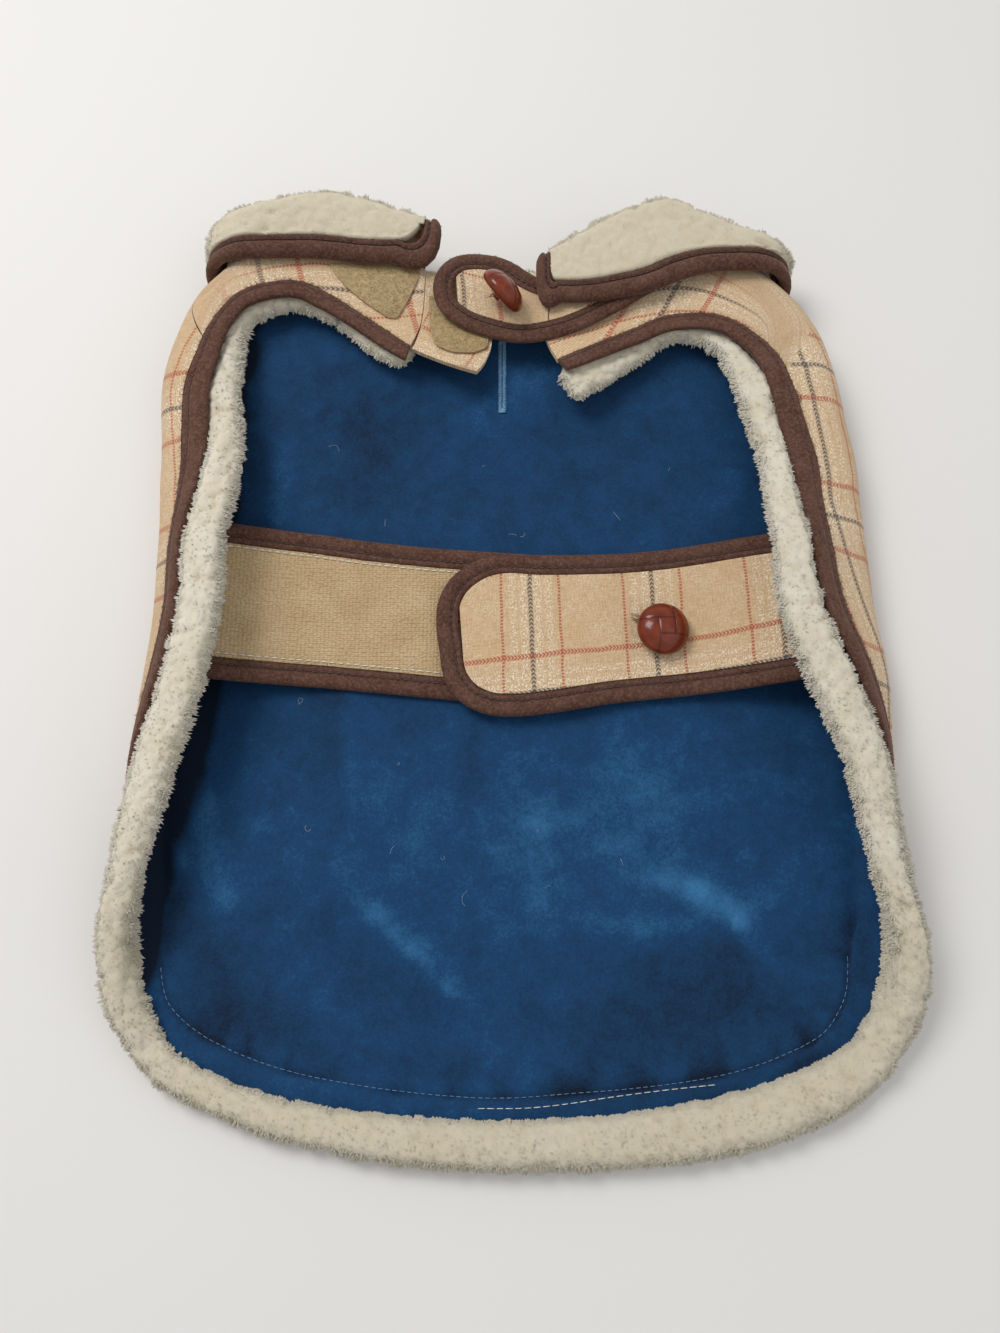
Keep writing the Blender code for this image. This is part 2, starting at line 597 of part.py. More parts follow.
def hem_band(material):
    stations = np.concatenate([np.linspace(start, end, steps, endpoint=False)
                               for start, end, steps in BAND_STATIONS] + [(1.0,)])
    path, middle, within = [edge_between(band_start(width), 1.0, stations, width)
                            for width in (0.0, BAND_WIDTH / 2, BAND_WIDTH)]
    lift = smoothstep(cloth(within[:, 0], within[:, 1])[:, 2], 3.0, 9.0)
    proud = -(BAND_WALL - SHELL_WALL) * lift
    rings = [cloth(place[:, 0], place[:, 1], proud * outer)
             for place, outer in ((path, 0.0), (middle, 1.0), (within, 0.6))]
    rings += [cloth(place[:, 0], place[:, 1], SHELL_WALL) for place in (within, middle, path)]
    return sweep("hem_band", np.stack(rings, axis=1), material)


def hem_trim(name, start, end, material):
    """Sherpa roll along a stretch of the hem."""
    count = int(round((end - start) * 96))
    share = np.linspace(start + 0.0004, end - 0.0004, count)
    point, along, out, deep = [side[np.round(share * HEM_STEPS).astype(int)] for side in hem_frame()]
    width, thick, tilt, reach, height = np.moveaxis(smooth_rows(TRIM_ROWS, share), -1, 0)
    tilt = np.radians(tilt)
    middle = point + out * reach[:, None] + deep * height[:, None]
    flat_axis = out * np.cos(tilt)[:, None] + deep * np.sin(tilt)[:, None]
    high_axis = deep * np.cos(tilt)[:, None] - out * np.sin(tilt)[:, None]
    rings = []
    for angle in np.linspace(0, 2 * math.pi, 9, endpoint=False):
        wide, high = superellipse(angle, 2.5)
        rings.append(middle + flat_axis * (wide * width / 2)[:, None]
                     + high_axis * (high * thick / 2)[:, None])
    rings = np.stack(rings, axis=1)
    sunk = np.clip(REST_HEIGHT - rings[..., 2].min(axis=1), 0, None)
    rings[..., 2] += sunk[:, None]
    return sweep(name, rings, material)


def superellipse(angle, power):
    c = math.cos(angle)
    s = math.sin(angle)
    return (math.copysign(abs(c) ** (2 / power), c), math.copysign(abs(s) ** (2 / power), s))


# Lining

def fold_lift(x, y):
    lift = np.zeros(np.broadcast(x, y).shape)
    for x0, y0, x1, y1, height, spread in LINING_FOLDS:
        way = np.array([x1 - x0, y1 - y0])
        share = ((x - x0) * way[0] + (y - y0) * way[1]) / (way @ way)
        near = np.clip(share, 0, 1)
        apart = np.hypot(x - x0 - near * way[0], y - y0 - near * way[1])
        lift = np.maximum(lift, height * np.exp(-(apart / spread) ** 2))
    return lift


def lining(material):
    places = back_patch(LINING_INSET)
    s, y = places[..., 0], places[..., 1]
    roll_start = section_at(s, y)[..., 0]
    lift = fold_lift(s, y) + LINING_ROLL_LIFT * smoothstep(np.abs(s) - roll_start, -14.0, -2.0)
    low = SHELL_WALL + LINING_GAP
    return sheet("lining", cloth(s, y, low + lift), cloth(s, y, low + LINING_WALL + lift), material)


def leash_slit(material):
    x, y = SLIT_MIDDLE
    across = np.linspace(x - SLIT_WIDTH / 2, x + SLIT_WIDTH / 2, 4)
    along = np.linspace(y - SLIT_LENGTH / 2, y + SLIT_LENGTH / 2, 12)
    places = np.stack(np.meshgrid(across, along), axis=-1)
    lining_face = SHELL_WALL + LINING_GAP + LINING_WALL
    bottom = lining_face + 2 * SEAM_GAP + fold_lift(places[..., 0], places[..., 1])
    return wall("leash_slit", places, bottom, bottom + SLIT_WALL, material)


# Collar. A place on it is its distance round the neckline and its way over the hook: up the stand,
# round the roll and down the fall. Height goes towards the sherpa side.

def neckline():
    left = [over_flap(-1, *COLLAR_START)] + [over_flap(-1, x, y) for x, y in LEFT_NECK[::-1]]
    right = [over_flap(1, x, y) for x, y in RIGHT_NECK[:-1]] + [over_flap(1, *COLLAR_END)]
    half = [(-s, y) for s, y in NAPE[:0:-1]]
    return smooth_path(left + [shoulder(-1)] + half + list(NAPE) + [shoulder(1)] + right, 801)


NECKLINE = neckline()
NECK_LENGTH = float(np.sum(np.linalg.norm(np.diff(NECKLINE, axis=0), axis=1)))


def collar_sizes(length):
    return np.moveaxis(smooth_rows(COLLAR_ROWS, np.asarray(length) / NECK_LENGTH), -1, 0)


def collar_way(length):
    stand, fall, roll, edge = collar_sizes(length)
    return stand + math.pi * roll + fall


def same_share(s, y, new_y):
    """Place at new_y that is the same share of the way across the cloth's section."""
    flat, roll, turn, run = np.moveaxis(section_at(s, y), -1, 0)
    new_flat, new_roll, new_turn, new_run = np.moveaxis(section_at(s, new_y), -1, 0)
    turn = np.radians(turn)
    new_turn = np.radians(new_turn)
    beyond = np.abs(s) - flat
    share = np.clip(beyond / (roll * turn), 0, 1)
    straight = np.clip(beyond - roll * turn, 0, None)
    straight = straight * (new_flat / flat)
    moved = np.where(beyond < 0, np.abs(s) * new_flat / flat, new_flat + share * new_roll * new_turn + straight)
    return np.where(s < 0, -moved, moved)


def collar_surface(length, way, height=0.0):
    length, way, height = np.broadcast_arrays(np.asarray(length, float), way, height)
    share = np.linspace(0, NECK_LENGTH, len(NECKLINE))
    s = np.interp(length, share, NECKLINE[:, 0])
    y = np.interp(length, share, NECKLINE[:, 1])
    stand, fall, roll, edge = collar_sizes(length)
    turn = np.clip((way - stand) / roll, 0, math.pi)
    down = np.clip(way - stand - math.pi * roll, 0, None)
    reach = NECK_GAP + np.minimum(way, stand) + roll * np.sin(turn) - down
    below = y + np.minimum(reach, 0.0)
    s = same_share(s, y, below)
    base = cloth(s, below)
    outward = base - cloth(s, below, 1.0)
    outward[..., 1] = 0
    outward /= np.linalg.norm(outward, axis=-1)[..., None]
    top = 2 * roll - COLLAR_STAND_DEPTH
    level = roll * (1 - np.cos(turn)) - COLLAR_STAND_DEPTH + (edge - top) * (down / fall) ** 1.5
    above = np.maximum(reach, 0.0) + height * np.sin(turn)
    level = level - height * np.cos(turn)
    point = base + outward * level[..., None] + np.array([0.0, 1.0, 0.0]) * above[..., None]
    point[..., 2] = np.maximum(point[..., 2], REST_HEIGHT)
    return point


def collar_outline(within):
    """Bound edge of the collar moved inwards: up the right end, back along the edge, down the left."""
    radius = max(COLLAR_CORNER - within, 0.6)
    near = within + radius
    points = []
    for way in np.linspace(0.6, 1.0, 2):
        points.append((NECK_LENGTH - within, way))
    for share in np.linspace(0.1, 1.0, 8):
        points.append((NECK_LENGTH - within, share * (collar_way(NECK_LENGTH - near) - near)))
    for angle in (30, 60):
        points.append(corner_point(NECK_LENGTH - near, near, radius, angle, 1))
    for length in np.linspace(NECK_LENGTH - near, near, 53):
        points.append((length, float(collar_way(length)) - within))
    for angle in (60, 30):
        points.append(corner_point(near, near, radius, angle, -1))
    for share in np.linspace(1.0, 0.1, 8):
        points.append((within, share * (collar_way(near) - near)))
    for way in np.linspace(1.0, 0.6, 2):
        points.append((within, way))
    return np.array(points, float)


def corner_point(length, near, radius, angle, direction):
    angle = math.radians(angle)
    way = float(collar_way(length)) - near
    return length + direction * radius * math.cos(angle), way + radius * math.sin(angle)


def collar_sherpa(material):
    end = COLLAR_BINDING + COLLAR_GAP
    grid = []
    for length in np.linspace(end, NECK_LENGTH - end, 39):
        stand, fall, roll, edge = collar_sizes(length)
        bend = math.pi * roll
        ways = [0.0, stand * 0.5] + [stand + bend * k / 4 for k in range(5)]
        ways += [stand + bend + (fall - end) * k / 3 for k in (1, 2, 3)]
        grid.append([(length, way) for way in ways])
    grid = np.array(grid, float)
    half = COLLAR_WALL / 2
    low = collar_surface(grid[..., 0], grid[..., 1], -half)
    high = collar_surface(grid[..., 0], grid[..., 1], half)
    return sheet("collar_sherpa", low, high, material)


# Straps and tab, which lie on a height that changes along x.

def strap_surface(rows):
    table = np.asarray(rows, float)

    def surface(x, y, height=0.0):
        x = np.asarray(x, float)
        z = smooth_rows(table, x)[..., 0]
        slope = (smooth_rows(table, x + 0.5)[..., 0] - smooth_rows(table, x - 0.5)[..., 0])
        size = np.sqrt(1 + slope ** 2)
        return np.stack(np.broadcast_arrays(x - slope / size * height, y, z + height / size), axis=-1)
    return surface


def strap_panel(name, surface, outline, count, across, wall_thick, material, end_share=0.93):
    """Panel inside a bound outline that runs out along the top, round the end and back below."""
    grid = []
    for share in np.linspace(0, 0.5 * end_share, count):
        top, bottom = smooth_path(outline, fractions=(share, 1 - share))
        grid.append(line(bottom, top, across))
    grid = np.array(grid)
    return sheet(name, surface(grid[..., 0], grid[..., 1], 0.0),
                 surface(grid[..., 0], grid[..., 1], wall_thick), material)


def bound_strap(name, rows, outline, steps, binding, wall_thick, cloth_look, binding_look):
    surface = strap_surface(rows)
    path = smooth_path(outline, steps)
    edging(name + "_binding", surface, lambda width: inset(path, width), binding, -SEAM_GAP,
           wall_thick + 0.5, binding_look)
    inner = inset(path, binding + SEAM_GAP)
    strap_panel(name, surface, inner, 20, 5, wall_thick, cloth_look)


def left_strap(tape_look, binding_look):
    surface = strap_surface(LEFT_STRAP_HEIGHT)
    top = smooth_path(LEFT_STRAP_TOP[::-1], 19)
    bottom = smooth_path(LEFT_STRAP_BOTTOM, 19)
    for name, path in (("top", top), ("bottom", bottom)):
        edging("belly_strap_left_binding_" + name, surface,
               lambda width, path=path: inset(path, width), STRAP_BINDING, -SEAM_GAP,
               STRAP_WALL + 0.5, binding_look)
    inside = STRAP_BINDING + SEAM_GAP
    upper = inset(top, inside)[::-1]
    lower = inset(bottom, inside)
    grid = np.array([line(low, high, 5) for low, high in zip(lower, upper)])
    sheet("belly_strap_left", surface(grid[..., 0], grid[..., 1], 0.0),
          surface(grid[..., 0], grid[..., 1], STRAP_WALL), tape_look)


# Buttons

def button(name, middle, face, shank, material):
    """Domed shank button, turned about the way its face looks."""
    radius = BUTTON_WIDTH / 2
    depth = BUTTON_DEPTH
    back = -0.42 * depth
    profile = ((0.22, back - shank), (0.22, back - 0.3), (0.80, back), (0.96, back + 0.12 * depth),
               (1.0, back + 0.30 * depth), (0.95, back + 0.52 * depth), (0.82, back + 0.72 * depth),
               (0.60, back + 0.88 * depth), (0.32, back + 0.97 * depth), (0.08, back + depth))
    axis = np.array(face) / np.linalg.norm(face)
    across = np.cross(axis, (0.0, 1.0, 0.3))
    across /= np.linalg.norm(across)
    upward = np.cross(axis, across)
    angles = np.linspace(0, 2 * math.pi, 18, endpoint=False)
    circle = across * np.cos(angles)[:, None] + upward * np.sin(angles)[:, None]
    rings = [np.array(middle) + axis * height + circle * radius * share for share, height in profile]
    return sweep(name, np.array(rings), material)


def linear(colour):
    channels = [int(colour[k:k + 2], 16) / 255 for k in (1, 3, 5)]
    return [c / 12.92 if c <= 0.04045 else ((c + 0.055) / 1.055) ** 2.4 for c in channels]


def build():
    for item in list(bpy.data.objects):
        bpy.data.objects.remove(item)
    check = cloth_material("Check cloth", linear("#C7A87E"), 0.9)
    velvet = cloth_material("Blue velvet", linear("#1D4670"), 0.8)
    sherpa = cloth_material("Sherpa pile", linear("#D2C8B4"), 0.95)
    suede = cloth_material("Brown suede cloth", linear("#4F352E"), 0.9)
    tape = cloth_material("Loop tape", linear("#C2A874"), 0.9)
    loops = cloth_material("Loop patch", linear("#A58F58"), 0.8)
    horn = cloth_material("Brown button", linear("#642D20"), 0.15)
    thread = cloth_material("Blue thread", linear("#7FA3C4"), 0.7)

    wall("shell_back", back_patch(FLAP_INSET), 0.0, SHELL_WALL, check)
    lining(velvet)
    leash_slit(thread)
    chest_flap("chest_flap_left", -1, LEFT_NECK, LEFT_FLAP_END, check)
    chest_flap("chest_flap_right", 1, RIGHT_NECK, RIGHT_FLAP_END, check)
    underlap(check)
    patch_on_flap("flap_loop_patch", FLAP_PATCH_ROWS, loops)
    patch_on_flap("underlap_loop_patch", UNDERLAP_PATCH_ROWS, loops)
    hem_band(suede)
    for name, start, end in zip(("left", "rump", "right"), TRIM_SPLITS, TRIM_SPLITS[1:]):
        hem_trim("hem_sherpa_" + name, start, end, sherpa)
    collar_sherpa(sherpa)
    half = COLLAR_WALL / 2
    edging("collar_binding", collar_surface, collar_outline, COLLAR_BINDING, -half - 0.3, half + 0.4,
           suede)
    left_strap(tape, suede)
    bound_strap("belly_strap_right", RIGHT_STRAP_HEIGHT, RIGHT_STRAP_OUTLINE, 61, STRAP_BINDING,
                STRAP_WALL, check, suede)
    bound_strap("neck_tab", TAB_HEIGHT, TAB_OUTLINE, 45, TAB_BINDING, TAB_WALL, check, suede)
    button("belly_button", BELLY_BUTTON, BELLY_BUTTON_FACE, 1.8, horn)
    button("neck_button", NECK_BUTTON, NECK_BUTTON_FACE, 2.4, horn)


build()
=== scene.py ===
# Dog's winter coat laid flat on its back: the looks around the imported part.
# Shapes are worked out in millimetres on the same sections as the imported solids.

import math

import bpy
import numpy as np
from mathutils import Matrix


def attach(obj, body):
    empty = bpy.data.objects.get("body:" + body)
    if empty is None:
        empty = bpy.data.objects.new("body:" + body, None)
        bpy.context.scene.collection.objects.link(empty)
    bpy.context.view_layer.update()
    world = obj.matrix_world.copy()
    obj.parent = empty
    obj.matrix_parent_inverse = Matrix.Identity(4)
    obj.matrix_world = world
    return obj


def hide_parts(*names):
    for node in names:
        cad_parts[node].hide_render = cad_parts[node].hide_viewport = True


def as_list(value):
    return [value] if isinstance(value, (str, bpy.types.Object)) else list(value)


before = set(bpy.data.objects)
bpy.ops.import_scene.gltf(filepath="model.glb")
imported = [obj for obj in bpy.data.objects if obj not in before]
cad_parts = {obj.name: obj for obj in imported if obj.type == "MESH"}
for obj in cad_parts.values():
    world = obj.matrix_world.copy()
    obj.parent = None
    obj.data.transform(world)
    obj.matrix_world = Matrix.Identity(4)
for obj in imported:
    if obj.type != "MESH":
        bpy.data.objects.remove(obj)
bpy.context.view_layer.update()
mm = 0.001
# the stored cut is in units of this many millimetres
uvSize = 100.0
print("frame loaded")


def linearColour(code):
    channels = [int(code[k:k + 2], 16) / 255 for k in (1, 3, 5)]
    return tuple(c / 12.92 if c <= 0.04045 else ((c + 0.055) / 1.055) ** 2.4 for c in channels) + (1.0,)


def fillSockets(tree, node, inputs):
    # numbers, colours, sockets or nodes go into the node's usable sockets, in order or by name
    usable = [socket for socket in node.inputs if socket.enabled]
    pairs = []
    for place, value in enumerate(inputs):
        if isinstance(value, dict):
            pairs += [(node.inputs[name], each) for name, each in value.items()]
        elif value is not None:
            pairs.append((usable[place], value))
    for socket, value in pairs:
        if isinstance(value, bpy.types.Node):
            value = next(out for out in value.outputs if out.enabled)
        if isinstance(value, bpy.types.NodeSocket):
            tree.links.new(value, socket)
        elif isinstance(value, str):
            socket.default_value = linearColour(value)
        else:
            socket.default_value = value


def addNode(tree, kind, *inputs, **settings):
    node = tree.nodes.new("ShaderNode" + kind)
    for name, value in settings.items():
        setattr(node, name, value)
    fillSockets(tree, node, inputs)
    return node


def newMaterial(name, roughness, sheen=0.0, sheenRoughness=0.5, specular=0.5, **more):
    material = bpy.data.materials.new(name)
    material.use_nodes = True
    tree = material.node_tree
    fillSockets(tree, tree.nodes["Principled BSDF"], [{
        "Roughness": roughness, "Sheen Weight": sheen, "Sheen Roughness": sheenRoughness,
        "Specular IOR Level": specular, **more}])
    return material, tree


def calc(tree, operation, *values):
    return addNode(tree, "Math", *values, operation=operation)


def mixed(tree, share, first, second, **settings):
    return addNode(tree, "Mix", share, first, second, data_type="RGBA", **settings)


def noiseOf(tree, where, scale, detail=2.0, **more):
    return addNode(tree, "TexNoise", {"Vector": where, "Scale": scale, "Detail": detail, **more})


def noiseBand(tree, where, scale, low, high, out=(0.0, 1.0), detail=2.0, **more):
    # noise, with its values from low to high spread over out
    return addNode(tree, "MapRange", noiseOf(tree, where, scale, detail, **more), low, high, *out)


def markOf(tree, name):
    return addNode(tree, "Attribute", attribute_name=name).outputs["Fac"]


def objectPlace(tree):
    return addNode(tree, "TexCoord").outputs["Object"]


def finishSurface(material, colour, height=None, strength=0.5, distance=0.0003, tint=None):
    # colour, bump over a distance in metres, and the tint of the sheen
    tree = material.node_tree
    inputs = {"Base Color": colour}
    if height:
        inputs["Normal"] = addNode(tree, "Bump", {"Strength": strength, "Distance": distance,
                                                  "Height": height})
    if tint:
        inputs["Sheen Tint"] = tint
    fillSockets(tree, tree.nodes["Principled BSDF"], [inputs])
    return material


def lengthAlong(path):
    # distance from the first point to each point of a path
    return np.concatenate([[0], np.cumsum(np.linalg.norm(np.diff(path, axis=0), axis=1))])


def pathLength(path):
    return float(np.sum(np.linalg.norm(np.diff(path, axis=0), axis=1)))


def rowsAt(where, along, path):
    # a path's columns read at these distances
    return np.column_stack([np.interp(where, along, path[:, k]) for k in range(path.shape[1])])


def smoothRows(rows, where):
    # cubic curve through a table whose first column is the place
    table = np.asarray(rows, float)
    place, values = table[:, 0], table[:, 1:]
    where = np.clip(np.asarray(where, float), place[0], place[-1])
    slope = np.gradient(values, place, axis=0)
    row = np.clip(np.searchsorted(place, where) - 1, 0, len(place) - 2)
    step = place[row + 1] - place[row]
    t = ((where - place[row]) / step)[..., None]
    step = step[..., None]
    return ((2 * t**3 - 3 * t**2 + 1) * values[row] + (t**3 - 2 * t**2 + t) * step * slope[row]
            + (3 * t**2 - 2 * t**3) * values[row + 1] + (t**3 - t**2) * step * slope[row + 1])


def smoothPath(points, count=None, fractions=None):
    # even steps, or these shares of the length, along a smooth curve through the points
    points = np.asarray(points, float)
    chord = lengthAlong(points)
    fine = smoothRows(np.column_stack([chord, points]), np.linspace(0, chord[-1], 1200))
    along = lengthAlong(fine)
    if fractions is None:
        fractions = np.linspace(0, 1, count)
    return rowsAt(np.asarray(fractions, float) * along[-1], along, fine)


def smoothStep(value, low, high):
    t = np.clip((value - low) / (high - low), 0, 1)
    return t * t * (3 - 2 * t)


def apartFrom(x, y, x0, y0, x1, y1):
    # distance to a straight stroke, and how far to its left
    way = np.array([x1 - x0, y1 - y0])
    share = np.clip(((x - x0) * way[0] + (y - y0) * way[1]) / (way @ way), 0, 1)
    aside = (way[0] * (y - y0) - way[1] * (x - x0)) / np.hypot(*way)
    return np.hypot(x - x0 - share * way[0], y - y0 - share * way[1]), aside


def flatSpots(s, y):
    return np.stack([s, y, np.zeros_like(s)], axis=-1)


def split(places):
    return places[..., 0], places[..., 1]


def unit(vectors):
    return vectors / np.maximum(np.linalg.norm(vectors, axis=-1, keepdims=True), 1e-9)


def scattered(spot, seed):
    # a random whole number below 65536 for each place of a grid
    value = spot[..., 0] * 73856093 ^ spot[..., 1] * 19349663 ^ spot[..., 2] * 83492791 ^ seed * 49979687
    value = (value ^ value >> 13) * 1274126177
    return (value ^ value >> 16) & 0xffff


def lumps(points, size, seed):
    # smooth random heights from -1 to 1, in lumps of this size
    place = np.asarray(points, float) / size
    cell = np.floor(place).astype(np.int64)
    part = place - cell
    part = part * part * (3 - 2 * part)
    total = np.zeros(place.shape[:-1])
    for corner in np.ndindex(2, 2, 2):
        spot = cell + np.array(corner)
        weight = np.prod(np.where(corner, part, 1 - part), axis=-1)
        total += (scattered(spot, seed) / 32767.5 - 1) * weight
    return total


def cushions(points, size, seed):
    # rounded cushions side by side: 1 in their middles, falling to 0 in the creases between them
    place = np.asarray(points, float) / size
    cell = np.floor(place).astype(np.int64)
    nearest = np.full(place.shape[:-1], 9.0)
    for corner in np.ndindex(3, 3, 3):
        spot = cell + np.array(corner) - 1
        shift = np.stack([scattered(spot, seed + k) for k in range(3)], axis=-1) / 65535
        nearest = np.minimum(nearest, np.sum((place - spot - shift) ** 2, axis=-1))
    return np.sqrt(np.clip(1 - nearest, 0, 1))


def newPiece(name, points, blocks, materials, cut=None, marks=None, faceMaterial=None, sharp=None,
             soft=None):
    # mesh from points in millimetres and blocks of faces with equal numbers of corners
    blocks = [np.asarray(block) for block in blocks if len(block)]
    corners = np.concatenate([block.ravel() for block in blocks]).astype(np.int32)
    sizes = np.concatenate([np.full(len(block), block.shape[1]) for block in blocks])
    starts = np.concatenate([[0], np.cumsum(sizes)[:-1]]).astype(np.int32)
    mesh = bpy.data.meshes.new(name)
    mesh.vertices.add(len(points))
    mesh.vertices.foreach_set("co", (np.asarray(points) * mm).astype(np.float32).ravel())
    mesh.loops.add(len(corners))
    mesh.loops.foreach_set("vertex_index", corners)
    mesh.polygons.add(len(sizes))
    mesh.polygons.foreach_set("loop_start", starts)
    mesh.update(calc_edges=True)
    mesh.validate()
    mesh.shade_smooth()
    if sharp:
        mesh.set_sharp_from_angle(angle=math.radians(sharp))
    if cut is not None:
        layer = mesh.uv_layers.new(name="cut")
        layer.uv.foreach_set("vector", (np.asarray(cut)[corners] / uvSize).astype(np.float32).ravel())
    for key, values in (marks or {}).items():
        mark = mesh.attributes.new(key, "FLOAT", "POINT")
        mark.data.foreach_set("value", np.asarray(values, np.float32).ravel())
    for material in materials if isinstance(materials, (list, tuple)) else [materials]:
        mesh.materials.append(material)
    if faceMaterial is not None:
        mesh.polygons.foreach_set("material_index", np.asarray(faceMaterial, np.int32))
    if soft is not None:
        # the last points have their own normals: fibres are shaded with the fleece they grow from
        own = np.empty(len(points) * 3, np.float32)
        mesh.vertex_normals.foreach_get("vector", own)
        own = own.reshape(-1, 3)
        own[-len(soft):] = soft
        mesh.normals_split_custom_set_from_vertices(own.tolist())
    piece = bpy.data.objects.new(name, mesh)
    bpy.context.scene.collection.objects.link(piece)
    return piece


def place(piece, slotName, *nodes):
    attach(piece, "root")
    if nodes:
        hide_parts(*nodes)
    return piece


def gridQuads(index):
    corners = [index[:-1, :-1], index[:-1, 1:], index[1:, 1:], index[1:, :-1]]
    return np.stack(corners, axis=-1).reshape(-1, 4)


def shellFaces(rows, columns):
    # two grids of points with a rim between them
    index = np.arange(rows * columns).reshape(rows, columns)
    count = rows * columns
    rim = np.concatenate([index[0, :-1], index[:-1, -1], index[-1, :0:-1], index[:0:-1, 0]])
    there = np.roll(rim, -1)
    sides = np.stack([there, rim, rim + count, there + count], axis=1)
    return [gridQuads(index), gridQuads(index)[:, ::-1] + count, sides]


def outwards(points, blocks):
    # faces turned so that the closed mesh has its outside out
    volume = 0.0
    for block in blocks:
        a = points[block[:, 0]]
        for k in range(1, block.shape[1] - 1):
            volume += np.sum(a * np.cross(points[block[:, k]], points[block[:, k + 1]]))
    return [block[:, ::-1] for block in blocks] if volume < 0 else blocks


def clothShell(name, outer, inner, cut, material, marks=None):
    # cloth with thickness, from the grids of its two faces
    points = np.concatenate([outer.reshape(-1, 3), inner.reshape(-1, 3)])
    blocks = outwards(points, shellFaces(*outer.shape[:2]))
    cut = np.concatenate([cut.reshape(-1, 2)] * 2)
    marks = {key: np.concatenate([value.ravel()] * 2) for key, value in (marks or {}).items()}
    return newPiece(name, points, blocks, material, cut, marks, sharp=50)


def barFaces(stations, around):
    # rings of points with a cap at both ends
    index = np.arange(stations * around).reshape(stations, around)
    wrapped = np.concatenate([index, index[:, :1]], axis=1)
    return [gridQuads(wrapped), index[:1, ::-1], index[-1:]]


def tubes(paths, radii, sides=3):
    # many small tapering tubes at once
    paths = np.asarray(paths, float)
    count, steps = paths.shape[:2]
    radii = np.broadcast_to(radii, (count, steps))
    along = unit(np.gradient(paths, axis=1))
    steep = np.abs(along[:, :1, 2:]) > 0.9
    side = unit(np.cross(along, np.where(steep, (1.0, 0.0, 0.0), (0.0, 0.0, 1.0))))
    lift = np.cross(along, side)
    turn = np.arange(sides) * 2 * math.pi / sides
    ring = (side[:, :, None] * np.cos(turn)[:, None] + lift[:, :, None] * np.sin(turn)[:, None])
    points = paths[:, :, None] + ring * radii[..., None, None]
    index = np.arange(count * steps * sides).reshape(count, steps, sides)
    turned = np.roll(index, -1, axis=2)
    quads = np.stack([index[:, :-1], turned[:, :-1], turned[:, 1:], index[:, 1:]], axis=-1).reshape(-1, 4)
    return points.reshape(-1, 3), [quads, index[:, 0, ::-1], index[:, -1]]


def pointedLocks(root, middle, tip, width, normal):
    # three-sided locks that end in a point, their flat side up: a ring of corners at the root, one half-way
    way = unit(tip - root)
    side = unit(np.cross(normal, way))
    lift = np.cross(way, side)
    turn = np.radians((30.0, 150.0, 270.0))
    ring = side[:, None] * np.cos(turn)[:, None] + lift[:, None] * 0.6 * np.sin(turn)[:, None]
    points = np.concatenate([root[:, None] + ring * width[:, None, None],
                             middle[:, None] + ring * width[:, None, None] * 0.6, tip[:, None]], axis=1)
    # seven corners each: three at the root, three half-way, the tip
    start = np.arange(len(root))[:, None] * 7
    quads = np.concatenate([start + (k, (k + 1) % 3, (k + 1) % 3 + 3, k + 3) for k in range(3)])
    tops = np.concatenate([start + (k + 3, (k + 1) % 3 + 3, 6) for k in range(3)] + [start + (2, 1, 0)])
    facing = np.concatenate([ring, ring, way[:, None]], axis=1)
    return points.reshape(-1, 3), [quads, tops], facing


def joined(*parts):
    # points and face blocks of several parts as one
    points, blocks, start = [], [], 0
    for some, faces in parts:
        points.append(some.reshape(-1, 3))
        blocks += [block + start for block in faces]
        start += len(points[-1])
    return np.concatenate(points), blocks


coat = {"seamGap": 0.3, "edgeGap": 0.55, "liningGap": 0.5, "neckGap": 0.7, "restHeight": 0.03,
        "shellWall": 1.6, "liningWall": 1.2, "flapWall": 3.0, "bandWidth": 11.0, "bandWall": 2.9,
        "bandRolled": 3.6, "leftRoll": (0.085, 0.15), "rightRoll": (0.86, 0.93),
        "napeLift": 5.8, "napeRise": (86.0, 132.0)}

# flanks: y, flat half width, radius of the roll, turn in degrees, run from roll to hem
leftSections = (
    (-185, 118, 12, 0, 4), (-150, 118, 12, 6, 4), (-125, 117.5, 12, 24, 4.5), (-112, 119, 12, 38, 5),
    (-98, 120.5, 12, 56, 5), (-84, 121.5, 12, 76, 5.5), (-70, 122.5, 12, 92, 7), (-56, 123.5, 12, 104, 9),
    (-41, 124.5, 12, 113, 12), (-24, 125, 11.5, 122, 16), (-8, 124, 11.5, 127, 18),
    (15, 122.5, 11.5, 129, 19.5), (40, 122.5, 12, 131, 19), (58, 122.5, 12.5, 140, 18.5),
    (75, 123, 13, 155, 15), (92, 124.5, 13, 170, 12.6), (108, 126, 12.5, 177, 12.6),
    (122, 125, 12, 182, 14), (140, 121.8, 11.5, 184, 14), (150, 118.8, 11, 184, 14),
    (158, 114.8, 11, 184, 14), (166, 108, 11, 184, 14), (174, 102, 11, 184, 14), (184, 98, 11, 184, 14))
rightSections = (
    (-185, 124, 12, 0, 4), (-150, 124, 12, 6, 4), (-125, 124.5, 12, 26, 4.5), (-112, 126, 12, 42, 5),
    (-98, 127, 12, 60, 5.5), (-84, 128, 12, 80, 6), (-70, 129.5, 12, 96, 8), (-56, 131, 12, 107, 10),
    (-41, 133, 12, 117, 13), (-24, 135, 11.5, 128, 17), (-8, 135.5, 11.5, 138, 21),
    (15, 133.5, 11.5, 146, 25), (40, 132.5, 11.5, 150, 25.5), (58, 131.5, 12, 160, 22.8),
    (75, 131, 12.5, 170, 21), (92, 128.5, 13, 175, 19.2), (108, 127, 12.5, 178, 20.5),
    (122, 124.5, 12, 182, 20), (140, 120, 11.5, 184, 20), (150, 115, 11, 184, 20),
    (158, 108.5, 11, 184, 20), (166, 101.5, 11, 184, 20), (174, 97, 11, 184, 20), (184, 95, 11, 184, 20))

